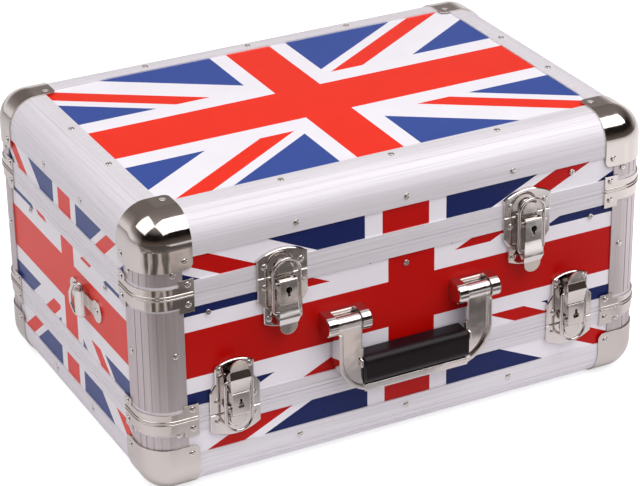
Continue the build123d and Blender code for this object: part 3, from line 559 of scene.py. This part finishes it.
# %% [markdown]
# ## Give each solid its finish
#
# A solid keeps its shape and only gets a new material. The record names a finish for each solid. The
# aluminium ones are sorted by the way they lie, and the cast bail, the pressed latches and the strap
# plates get a plating of their own.

# %% Finishes on the solids
finishes = {
    "printed_panel": printed_film,
    "steel_corner": corner_steel,
    "chromed_steel": bright_chrome,
    "grip_plastic": moulded_black,
    "foam_lining": moulded_black,
}


def finish_of(name, slot):
    """The finish of a solid, from its name and the slot that the record gives it."""
    if slot == "aluminium_extrusion":
        if name.endswith("rim"):
            return rim_aluminium
        return post_aluminium if name.endswith("posts") else edge_aluminium
    if name == "handle_bail":
        return cast_chrome
    if name.startswith(("latch_plate", "latch_lever", "latch_strike", "strap_plate")):
        return pressed_chrome
    return finishes[slot]


for name, node in nodes.items():
    node.material_slots[0].material = finish_of(name, node.data.materials[0].name)
print(len(nodes), "solids have a finish")

# %% [markdown]
# ## Rivets
#
# Every bar, corner and plate is held by pop rivets: a low dome over a flange, with a dimple where the
# pin snapped off. One is modelled flat on the floor: a disc is extruded up and scaled in, ring by ring.
# A profile spun about its axis would give the same dome, but with a seam to merge. It has few faces,
# because the case has some 160 of them.

# %% One rivet
RIVET_SIDES = 10
RIVET_RINGS = ((1.0, 0.35 * mm), (0.84, 0.45 * mm), (0.62, 0.25 * mm), (0.52, -0.02 * mm), (0.6, -0.5 * mm))

bpy.ops.object.select_all(action="DESELECT")
bpy.ops.mesh.primitive_circle_add(vertices=RIVET_SIDES, radius=RIVET_RADIUS, fill_type="NGON")
rivet_pattern = bpy.context.object
rivet_pattern.name = "rivet_pattern"
bpy.ops.object.mode_set(mode="EDIT")
bpy.ops.mesh.select_all(action="SELECT")
for shrink, rise in RIVET_RINGS:
    bpy.ops.mesh.extrude_region_move(TRANSFORM_OT_translate={"value": (0, 0, rise)})
    bpy.ops.transform.resize(value=(shrink, shrink, 1))
bpy.ops.mesh.select_all(action="SELECT")
bpy.ops.mesh.normals_make_consistent(inside=False)
bpy.ops.object.mode_set(mode="OBJECT")
bpy.ops.object.shade_smooth_by_angle(angle=math.radians(50))
print("a rivet has", len(rivet_pattern.data.polygons), "faces")

# %% [markdown]
# ## Screws
#
# A row of pan-head screws goes through the boards of the middle shell, below its upper rim. The head is
# a cylinder with its top edge bevelled. Its cross slot could be inset by hand, but two crossed bars cut
# it with straight walls in two steps.

# %% One screw
SCREW_RADIUS = 2.6 * mm
SCREW_HEIGHT = 1.5 * mm
SLOT_WIDTH = 0.7 * mm
SLOT_LENGTH = 3.4 * mm

bpy.ops.object.select_all(action="DESELECT")
bpy.ops.mesh.primitive_cylinder_add(vertices=20, radius=SCREW_RADIUS, depth=SCREW_HEIGHT,
                                    location=(0, 0, SCREW_HEIGHT / 2))
screw_pattern = bpy.context.object
screw_pattern.name = "screw_pattern"
bpy.ops.object.transform_apply()
head_round = screw_pattern.modifiers.new("head_round", "BEVEL")
head_round.width = 0.7 * mm
head_round.segments = 3
head_round.limit_method = "ANGLE"
bpy.ops.object.modifier_apply(modifier="head_round")
for turned in (False, True):
    long_way = (SLOT_WIDTH, SLOT_LENGTH) if turned else (SLOT_LENGTH, SLOT_WIDTH)
    bpy.ops.mesh.primitive_cube_add(size=1, location=(0, 0, SCREW_HEIGHT), scale=(*long_way, SCREW_HEIGHT))
    slot_cutter = bpy.context.object
    bpy.context.view_layer.objects.active = screw_pattern
    cut = screw_pattern.modifiers.new("slot", "BOOLEAN")
    cut.object = slot_cutter
    cut.solver = "EXACT"
    bpy.ops.object.modifier_apply(modifier="slot")
    bpy.data.objects.remove(slot_cutter)
bpy.ops.object.select_all(action="DESELECT")
screw_pattern.select_set(True)
bpy.ops.object.shade_smooth_by_angle(angle=math.radians(35))
print("a screw has", len(screw_pattern.data.polygons), "faces")

# %% [markdown]
# ## Where they go
#
# Each face of the case is described by its origin, the way along it and the way out of it. A spot is a
# distance along, a height and how far the head stands out. The distances are those of the real case:
# 26 mm in from the outer edges on the bars, and nearer the splits on the braces.

# %% Faces of the case
front_y, back_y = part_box("lid_rim")[0].y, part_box("lid_rim")[1].y
left_x, right_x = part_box("lid_rim")[0].x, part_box("lid_rim")[1].x
case_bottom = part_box("base_edge_extrusions")[0].z
case_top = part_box("lid_edge_extrusions")[1].z
faces = {
    "front": (Vector((0, front_y, 0)), Vector((1, 0, 0)), Vector((0, -1, 0)), right_x),
    "back": (Vector((0, back_y, 0)), Vector((-1, 0, 0)), Vector((0, 1, 0)), right_x),
    "left": (Vector((left_x, 0, 0)), Vector((0, -1, 0)), Vector((-1, 0, 0)), back_y),
    "right": (Vector((right_x, 0, 0)), Vector((0, 1, 0)), Vector((1, 0, 0)), back_y),
}
print("the case's faces are", round(right_x / mm), "and", round(back_y / mm), "mm from its middle")

# %% Setting copies on faces


def upright_spot(face, along, height, lift=0.0):
    """A point on an upright face, and the way out of it."""
    origin, way, out, _ = faces[face]
    return origin + way * along + out * lift + Vector((0, 0, height)), out.to_track_quat("Z", "Y").to_euler()


def set_copies(name, pattern, spots, body, finish=bright_chrome):
    """Copies a pattern to every spot, joins the copies and lets them ride on a body."""
    copies = []
    for point, turn in spots:
        one = pattern.copy()
        one.data = pattern.data.copy()
        one.rotation_euler = turn
        one.location = point
        bpy.context.collection.objects.link(one)
        copies.append(one)
    bpy.ops.object.select_all(action="DESELECT")
    for one in copies:
        one.select_set(True)
    bpy.context.view_layer.objects.active = copies[0]
    bpy.ops.object.join()
    bpy.ops.object.transform_apply()
    joined = bpy.context.object
    joined.name = name
    joined.data.name = name
    joined.data.materials.clear()
    joined.data.materials.append(finish)
    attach(joined, body)
    print(name, "has", len(copies), "copies")


# %% Rivets on the bars, corners and braces
BAR_INSET = 26 * mm
BRACE_INSET = 37.8 * mm
BRACE_FROM_SPLIT = 8.6 * mm
LONG_BAR_SPOTS = (-98 * mm, 0.0, 98 * mm)
SHORT_BAR_SPOTS = (-39 * mm, 39 * mm)
SHEET = 1.2 * mm


def shell_spots(outer, inward, split, post_height):
    """Where the rivets of the base or the lid are: outer is its closed face, inward points to the split."""
    spots = []
    for face, (_, _, _, half) in faces.items():
        along_bar = LONG_BAR_SPOTS if face in ("front", "back") else SHORT_BAR_SPOTS
        spots += [upright_spot(face, along, outer + inward * BAR_INSET) for along in along_bar]
        for side in (-1, 1):
            spots.append(upright_spot(face, side * (half - BAR_INSET), post_height))
            spots.append(upright_spot(face, side * (half - CAP_INSET), outer + inward * CAP_INSET, SHEET))
            brace_height = split - inward * BRACE_FROM_SPLIT
            spots.append(upright_spot(face, side * (half - BRACE_INSET), brace_height, SHEET))
    turn = Vector((0, 0, -inward)).to_track_quat("Z", "Y").to_euler()
    for side in (-1, 1):
        spots += [(Vector((along, side * (back_y - BAR_INSET), outer)), turn) for along in LONG_BAR_SPOTS]
        spots += [(Vector((side * (right_x - BAR_INSET), along, outer)), turn) for along in SHORT_BAR_SPOTS]
    return spots


print("the long bars have a rivet every", round(LONG_BAR_SPOTS[-1] / mm), "mm")

# %% Rivets of the hinges and the latches
HINGE_X = 140 * mm
HINGE_RIVET_REACH = 17 * mm
HINGE_RIVET_RISE = 14 * mm
LEAF = 1.5 * mm
LATCH_PLATE = 2.2 * mm


def hinge_spots(split, side_of_split):
    """Two rivets on each hinge leaf above or below a split."""
    height = split + side_of_split * HINGE_RIVET_RISE
    return [upright_spot("back", side * HINGE_X + across, height, LEAF)
            for side in (-1, 1) for across in (-HINGE_RIVET_REACH, HINGE_RIVET_REACH)]


def latch_spots(split, keeper_side, latch_x, places):
    """Rivets of two latches, from places across the latch and from the split towards the keeper."""
    return [upright_spot("front", side * latch_x + across, split + keeper_side * rise, LATCH_PLATE)
            for side in (-1, 1) for across, rise in places]


upper_latch_x, lower_latch_x = [
    sum(corner.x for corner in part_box(f"latch_plate_{row}_right")) / 2 for row in ("upper", "lower")
]
print("the latches are", round(upper_latch_x / mm), "and", round(lower_latch_x / mm), "mm from the middle")

# %% Rivets of the base and the lid
BASE_POST_RIVET = 12 * mm
LID_POST_RIVET = 18.5 * mm
STRIKE_PLACES = ((-16 * mm, 8 * mm), (16 * mm, 8 * mm))
PLATE_PLACES = ((-16 * mm, -10 * mm), (16 * mm, -10 * mm), (-13 * mm, -38 * mm), (13 * mm, -38 * mm))
base_spots = shell_spots(case_bottom, 1, lower_split, lower_split - BASE_POST_RIVET)
base_spots += latch_spots(lower_split, -1, lower_latch_x, STRIKE_PLACES) + hinge_spots(lower_split, -1)
lid_spots = shell_spots(case_top, -1, upper_split, upper_split + LID_POST_RIVET)
lid_spots += latch_spots(upper_split, 1, upper_latch_x, STRIKE_PLACES) + hinge_spots(upper_split, 1)
set_copies("rivets_of_base", rivet_pattern, base_spots, "base")
set_copies("rivets_of_lid", rivet_pattern, lid_spots, "lid")

# %% Rivets and screws of the middle shell
MIDDLE_POST_RIVET = 58.5 * mm
BOARD_RECESS = -1.3 * mm
STRAP_PLATE = 1.5 * mm
STRAP_RIVET_REACH = 23 * mm
SCREW_FROM_SPLIT = 20.3 * mm
LONG_SCREW_SPOTS = (-175 * mm, 0.0, 175 * mm)
SHORT_SCREW_SPOTS = (-80.5 * mm, 80.5 * mm)
LID_SCREW = (155 * mm, 25 * mm)

strap_low, strap_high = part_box("strap_plate_left")
strap_middle = (strap_low + strap_high) / 2
middle_spots = []
for face, (_, _, _, half) in faces.items():
    for side in (-1, 1):
        middle_spots.append(upright_spot(face, side * (half - BAR_INSET), lower_split + MIDDLE_POST_RIVET))
        for split, inward in ((lower_split, 1), (upper_split, -1)):
            height = split + inward * BRACE_FROM_SPLIT
            middle_spots.append(upright_spot(face, side * (half - BRACE_INSET), height, SHEET))
middle_spots += latch_spots(upper_split, 1, upper_latch_x, PLATE_PLACES)
middle_spots += latch_spots(lower_split, -1, lower_latch_x, PLATE_PLACES)
middle_spots += hinge_spots(lower_split, 1) + hinge_spots(upper_split, -1)
strap_face = BOARD_RECESS + STRAP_PLATE
for face, hand in (("left", -1), ("right", 1)):
    middle_spots += [upright_spot(face, hand * strap_middle.y + reach, strap_middle.z, strap_face)
                     for reach in (-STRAP_RIVET_REACH, STRAP_RIVET_REACH)]
set_copies("rivets_of_middle", rivet_pattern, middle_spots, "middle")

screw_row = upper_split - SCREW_FROM_SPLIT
screw_places = {"front": LONG_SCREW_SPOTS, "back": LONG_SCREW_SPOTS,
                "left": SHORT_SCREW_SPOTS, "right": SHORT_SCREW_SPOTS}
screw_spots = [upright_spot(face, along, screw_row, BOARD_RECESS)
               for face, places in screw_places.items() for along in places]
set_copies("screws_of_middle", screw_pattern, screw_spots, "middle")
lid_screw_spot = upright_spot("front", LID_SCREW[0], upper_split + LID_SCREW[1], BOARD_RECESS)
set_copies("screw_of_lid", screw_pattern, [lid_screw_spot], "lid")
for pattern in (rivet_pattern, screw_pattern):
    bpy.data.objects.remove(pattern)

# %% [markdown]
# ## Beads along the braces
#
# Each brace is pressed with a raised bead along its edge at the split, which stiffens it and shows as a
# bright line. The bead follows the brace: straight, round the corner, straight. So a small ring of
# vertices is extruded for the first straight, spun a quarter turn about the corner and extruded again,
# and the ends are closed. A bevelled curve could do it too, but a spin keeps the corner's exact radius.
# One bead is made about the corner's axis and copied to every corner, turned.

# %% One bead
CORNER_RADIUS = 25 * mm
BRACE_REACH = 43 * mm
BEAD_RADIUS = 0.9 * mm
STRAIGHT = BRACE_REACH - CORNER_RADIUS - BEAD_RADIUS

bpy.ops.object.select_all(action="DESELECT")
bpy.ops.mesh.primitive_circle_add(vertices=8, radius=BEAD_RADIUS, rotation=(math.radians(90), 0, 0),
                                  location=(CORNER_RADIUS + SHEET, -STRAIGHT, 0))
bead_pattern = bpy.context.object
bead_pattern.name = "bead_pattern"
bpy.ops.object.transform_apply()
bpy.ops.object.mode_set(mode="EDIT")
bpy.ops.mesh.select_all(action="SELECT")
bpy.ops.mesh.extrude_region_move(TRANSFORM_OT_translate={"value": (0, STRAIGHT, 0)})
# with no window, a spin turns the other way about its axis, so the axis points down
bpy.ops.mesh.spin(steps=10, angle=math.radians(90), center=(0, 0, 0), axis=(0, 0, -1))
bpy.ops.mesh.extrude_region_move(TRANSFORM_OT_translate={"value": (-STRAIGHT, 0, 0)})
bpy.ops.mesh.select_all(action="SELECT")
bpy.ops.mesh.remove_doubles(threshold=0.02 * mm)
bpy.ops.mesh.fill_holes(sides=0)
bpy.ops.mesh.normals_make_consistent(inside=False)
bpy.ops.object.mode_set(mode="OBJECT")
bpy.ops.object.shade_smooth_by_angle(angle=math.radians(60))
reach = max(vert.co.y for vert in bead_pattern.data.vertices)
print("a bead reaches", round(reach / mm, 1), "mm from its corner's axis")


# %% Beads at every corner
BEAD_FROM_SPLIT = 0.4 * mm


def bead_spots(split, side_of_split):
    """The four corners of the case just above or below a split, each with its quarter turn."""
    height = split + side_of_split * (BEAD_RADIUS + BEAD_FROM_SPLIT)
    corners = ((1, 1, 0), (-1, 1, 90), (-1, -1, 180), (1, -1, 270))
    axis_x, axis_y = right_x - CORNER_RADIUS, back_y - CORNER_RADIUS
    return [(Vector((side_x * axis_x, side_y * axis_y, height)), (0, 0, math.radians(turn)))
            for side_x, side_y, turn in corners]


for name, spots, body in (
    ("brace_beads_of_base", bead_spots(lower_split, -1), "base"),
    ("brace_beads_of_middle", bead_spots(lower_split, 1) + bead_spots(upper_split, -1), "middle"),
    ("brace_beads_of_lid", bead_spots(upper_split, 1), "lid"),
):
    set_copies(name, bead_pattern, spots, body, corner_steel)
bpy.data.objects.remove(bead_pattern)

# %% [markdown]
# ## Lugs of the handle
#
# Beside each end of the grip the cast bail has a small lug, which keeps the grip from turning. It is a
# block on the web: a box whose front face is scaled down, with all its edges bevelled. From here on,
# faces and edges are chosen in code by a small function, as a modeller would click on them.

# %% Grip lugs
import bmesh

LUG_WIDTH = 4.5 * mm
LUG_HEIGHT = 10 * mm
LUG_GAP = 0.2 * mm
LUG_SETBACK = 1.5 * mm
UNTURNED = (0, 0, 0)
grip_low, grip_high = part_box("handle_grip")
LUG_DEPTH = (grip_high.y - grip_low.y) * 0.8


def choose(wanted, kind):
    """Selects the edges or faces of the mesh in edit mode that a test wants."""
    mesh = bmesh.from_edit_mesh(bpy.context.object.data)
    bpy.ops.mesh.select_all(action="DESELECT")
    for part in getattr(mesh, kind):
        part.select = wanted(part)
    mesh.select_flush_mode()
    bmesh.update_edit_mesh(bpy.context.object.data)


bpy.ops.object.select_all(action="DESELECT")
bpy.ops.mesh.primitive_cube_add(size=1, scale=(LUG_WIDTH, LUG_DEPTH, LUG_HEIGHT))
lug_pattern = bpy.context.object
lug_pattern.name = "lug_pattern"
bpy.ops.object.transform_apply()
bpy.ops.object.mode_set(mode="EDIT")
bpy.ops.mesh.select_mode(type="FACE")
choose(lambda face: face.normal.y < -0.5, "faces")
bpy.ops.transform.resize(value=(0.6, 1, 0.7))
bpy.ops.object.mode_set(mode="OBJECT")
lug_round = lug_pattern.modifiers.new("lug_round", "BEVEL")
lug_round.width = 1.2 * mm
lug_round.segments = 3
bpy.ops.object.modifier_apply(modifier="lug_round")
bpy.ops.object.shade_smooth_by_angle(angle=math.radians(40))
lug_x = grip_high.x + LUG_WIDTH / 2 + LUG_GAP
lug_y = grip_low.y + LUG_DEPTH / 2 + LUG_SETBACK
lug_z = grip_high.z - LUG_HEIGHT / 2
lug_spots = [(Vector((side * lug_x, lug_y, lug_z)), UNTURNED) for side in (-1, 1)]
set_copies("grip_lugs", lug_pattern, lug_spots, "handle")
bpy.data.objects.remove(lug_pattern)

# %% [markdown]
# ## Lining
#
# The inside is lined with thin foam under black nylon cloth, bound with a ribbed tape at the opening. Nylon
# is woven from flat shiny threads, so it is nearly black with a faint sheen, and it shows the crossing of
# its threads. The weave could be an image, but three sets of waves cross on every face of the lining,
# whichever way it looks.

# %% Nylon cloth
THREAD_WIDTH = 1.2 * mm
BAND_FACTOR = 6.28


def band_scale(width):
    """The scale of a wave texture whose light and dark bands are each about this wide along an axis."""
    return 1 / width / BAND_FACTOR


lining_cloth, tree, shader = new_material("black_nylon_over_foam")
spot = tree.nodes.new("ShaderNodeTexCoord").outputs["Object"]
# a plain weave of 0.4 mm threads, drawn at 1.2 mm because it would not show
threads = [
    add_node(tree, "ShaderNodeTexWave", {"Vector": spot, "Scale": band_scale(THREAD_WIDTH), "Distortion": 0.6},
             bands_direction=way)
    for way in ("X", "Y", "Z")
]
crossing = add_node(tree, "ShaderNodeMath", {0: threads[0], 1: threads[1]}, operation="MULTIPLY")
weave = add_node(tree, "ShaderNodeMath", {0: crossing, 1: threads[2]}, operation="ADD")
fade = add_node(tree, "ShaderNodeTexNoise", {"Vector": spot, "Scale": 1 / (30 * mm), "Detail": 4.0})
cloth_colour = add_node(tree, "ShaderNodeMixRGB", {0: fade, 1: linear("#19181b"), 2: linear("#29282c")})
raised = add_node(tree, "ShaderNodeMapRange", {0: weave, 1: 0.5, 2: 1.8, 4: 0.6})
thread_colour = add_node(tree, "ShaderNodeMixRGB", {0: raised, 1: cloth_colour, 2: linear("#47454b")})
tree.links.new(thread_colour, shader.inputs["Base Color"])
shader.inputs["Roughness"].default_value = 0.8
shader.inputs["Sheen Weight"].default_value = 0.25
shader.inputs["Sheen Roughness"].default_value = 0.5
woven = add_node(tree, "ShaderNodeBump", {"Height": weave, "Strength": 0.35, "Distance": 0.15 * mm})
tree.links.new(woven, shader.inputs["Normal"])
print("the weave's scale is", round(band_scale(THREAD_WIDTH)))

# %% Binding tape
RIB_WIDTH = 1.8 * mm

binding_tape, tree, shader = new_material("grosgrain_binding_tape")
spot = tree.nodes.new("ShaderNodeTexCoord").outputs["Object"]
# grosgrain has ribs across the tape about 1 mm apart, drawn at 3.6 mm because they would not show; on a
# diagonal a wave's bands are twice as wide for their scale
ribs_at = add_node(tree, "ShaderNodeMapping", {"Vector": spot, "Scale": (1.0, 1.0, 0.05)})
ribs = add_node(
    tree, "ShaderNodeTexWave", {"Vector": ribs_at, "Scale": band_scale(RIB_WIDTH / 2), "Distortion": 0.3},
    bands_direction="DIAGONAL"
)
tape_colour = add_node(tree, "ShaderNodeMixRGB", {0: ribs, 1: linear("#101012"), 2: linear("#26262a")})
tree.links.new(tape_colour, shader.inputs["Base Color"])
shader.inputs["Roughness"].default_value = 0.7
ribbed = add_node(tree, "ShaderNodeBump", {"Height": ribs, "Strength": 0.5, "Distance": 0.2 * mm})
tree.links.new(ribbed, shader.inputs["Normal"])
print("the ribs' scale is", round(band_scale(RIB_WIDTH / 2)))

# %% [markdown]
# Each lining starts as a box that is as large as the room left for it. Its upright edges are rounded, its
# open ends removed, and it is cut into cells small enough to swell. A grid bent into shape could be used,
# but cutting a box keeps its outside exactly where the boards are.

# %% The back of a lining
PLAN_RADIUS = 18 * mm
FOLD_RADIUS = 6 * mm
CELL = 9 * mm
TAPE_WIDTH = 9 * mm
AT_LEVEL = 0.1 * mm


def pad_shell(name, low, high, open_ends):
    """A rounded box, open at some ends, cut into cells: the back of a lining, with its faces outwards."""
    bpy.ops.object.select_all(action="DESELECT")
    size = high - low
    bpy.ops.mesh.primitive_cube_add(size=1, location=(low + high) / 2, scale=size)
    pad = bpy.context.object
    pad.name = name
    bpy.ops.object.transform_apply()
    bpy.ops.object.mode_set(mode="EDIT")
    bpy.ops.mesh.select_mode(type="EDGE")
    choose(lambda edge: abs(edge.verts[0].co.z - edge.verts[1].co.z) > size.z / 2, "edges")
    bpy.ops.mesh.bevel(offset=PLAN_RADIUS, segments=5)
    closed_ends = [level for level in (low.z, high.z) if level not in open_ends]
    for level in closed_ends:
        choose(lambda edge: all(abs(vert.co.z - level) < AT_LEVEL for vert in edge.verts), "edges")
        bpy.ops.mesh.bevel(offset=FOLD_RADIUS, segments=3)
    bpy.ops.mesh.select_mode(type="FACE")
    for level in open_ends:
        choose(lambda face: all(abs(vert.co.z - level) < AT_LEVEL for vert in face.verts), "faces")
        bpy.ops.mesh.delete(type="FACE")
    end_margins = [FOLD_RADIUS if level in closed_ends else TAPE_WIDTH for level in (low.z, high.z)]
    for axis, (low_margin, high_margin) in enumerate(([PLAN_RADIUS] * 2, [PLAN_RADIUS] * 2, end_margins)):
        start = low[axis] + low_margin
        stop = high[axis] - high_margin
        cells = round((stop - start) / CELL)
        normal = [0, 0, 0]
        normal[axis] = 1
        for index in range(cells + 1):
            point = [0, 0, 0]
            point[axis] = start + (stop - start) * index / cells
            bpy.ops.mesh.select_all(action="SELECT")
            bpy.ops.mesh.bisect(plane_co=point, plane_no=normal)
    bpy.ops.mesh.select_all(action="SELECT")
    bpy.ops.mesh.remove_doubles(threshold=0.4 * mm)
    bpy.ops.object.mode_set(mode="OBJECT")
    return pad


# %% [markdown]
# The cloth is glued at its back and sewn at the corners, along the folds and under the tape, so it swells
# a little between them. The swell could be sculpted by hand. A short cloth simulation with some air
# pressure gives the soft dents at the seams by itself, and the points that are sewn are held still.

# %% Swelling
PAD_THICKNESS = 3.5 * mm
SWELL_LIMIT = 2.2 * mm
SWELL_STEPS = 20
SEAM = 0.5 * mm


def held_still(vert, low, high, open_ends):
    """Whether the cloth is sewn here: in the corners, along the folds and under the tape."""
    in_corner = (min(vert.co.x - low.x, high.x - vert.co.x) < PLAN_RADIUS
                 and min(vert.co.y - low.y, high.y - vert.co.y) < PLAN_RADIUS)
    under_tape = any(abs(vert.co.z - level) < TAPE_WIDTH + SEAM for level in open_ends)
    on_fold = any(level not in open_ends and abs(vert.co.z - level) < FOLD_RADIUS + SEAM
                  and (min(vert.co.x - low.x, high.x - vert.co.x) < FOLD_RADIUS + PAD_THICKNESS
                       or min(vert.co.y - low.y, high.y - vert.co.y) < FOLD_RADIUS + PAD_THICKNESS)
                  for level in (low.z, high.z))
    return in_corner or under_tape or on_fold


def blow_up(pad, sewn_name):
    """Lets the front of a pad swell under a little air pressure, and keeps the result in its mesh."""
    cloth = pad.modifiers.new("swell", "CLOTH")
    cloth.settings.quality = 5
    cloth.settings.mass = 0.3
    cloth.settings.use_pressure = True
    cloth.settings.uniform_pressure_force = 4
    cloth.settings.vertex_group_mass = sewn_name
    cloth.settings.effector_weights.gravity = 0
    cloth.collision_settings.use_collision = False
    still = [vert.co.copy() for vert in pad.data.vertices]
    for step in range(1, SWELL_STEPS + 1):
        bpy.context.scene.frame_set(step)
    bpy.ops.object.modifier_apply(modifier="swell")
    bpy.context.scene.frame_set(1)
    for vert, start in zip(pad.data.vertices, still):
        move = vert.co - start
        if move.length > SWELL_LIMIT:
            vert.co = start + move * (SWELL_LIMIT / move.length)


# %% [markdown]
# A wall thickness turns the back into a closed pad with foam inside. Its front is then blown up, and one
# subdivision rounds its cells. Each pad stands for the plain lining of its shell and rides on it.

# %% Three linings


def line_shell(node_name, body, open_ends):
    """Makes a padded lining in the place of a solid one."""
    low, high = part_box(node_name)
    open_levels = [low.z if end == "low" else high.z for end in open_ends]
    pad = pad_shell("padded_" + node_name, low, high, open_levels)
    wall = pad.modifiers.new("foam", "SOLIDIFY")
    wall.thickness = PAD_THICKNESS
    wall.offset = -1
    wall.use_even_offset = True
    pad.vertex_groups.new(name="front")
    wall.shell_vertex_group = "front"
    bpy.context.view_layer.objects.active = pad
    bpy.ops.object.modifier_apply(modifier="foam")
    front = pad.vertex_groups["front"].index
    sewn = pad.vertex_groups.new(name="sewn")
    for vert in pad.data.vertices:
        on_front = any(group.group == front and group.weight > 0.5 for group in vert.groups)
        if not on_front or held_still(vert, low, high, open_levels):
            sewn.add([vert.index], 1.0, "REPLACE")
    blow_up(pad, "sewn")
    pad.data.materials.clear()
    pad.data.materials.append(lining_cloth)
    pad.data.materials.append(binding_tape)
    for face in pad.data.polygons:
        if any(abs(face.center.z - level) < TAPE_WIDTH for level in open_levels):
            face.material_index = 1
    soften = pad.modifiers.new("soften", "SUBSURF")
    soften.levels = 1
    soften.render_levels = 1
    bpy.ops.object.modifier_apply(modifier="soften")
    bpy.ops.object.shade_smooth()
    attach(pad, body)
    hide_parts(node_name)
    print(pad.name, "has", len(pad.data.polygons), "faces")


line_shell("base_lining", "base", ["high"])
line_shell("middle_lining", "middle", ["low", "high"])
line_shell("lid_lining", "lid", ["low"])

# %% [markdown]
# ## Colour view
#
# The dressed case should be no larger than the solids were; the solids' size is printed where they are
# loaded. The render shows its colours with the standard view transform.

# %% Standard view transform
bpy.context.scene.view_settings.view_transform = "Standard"
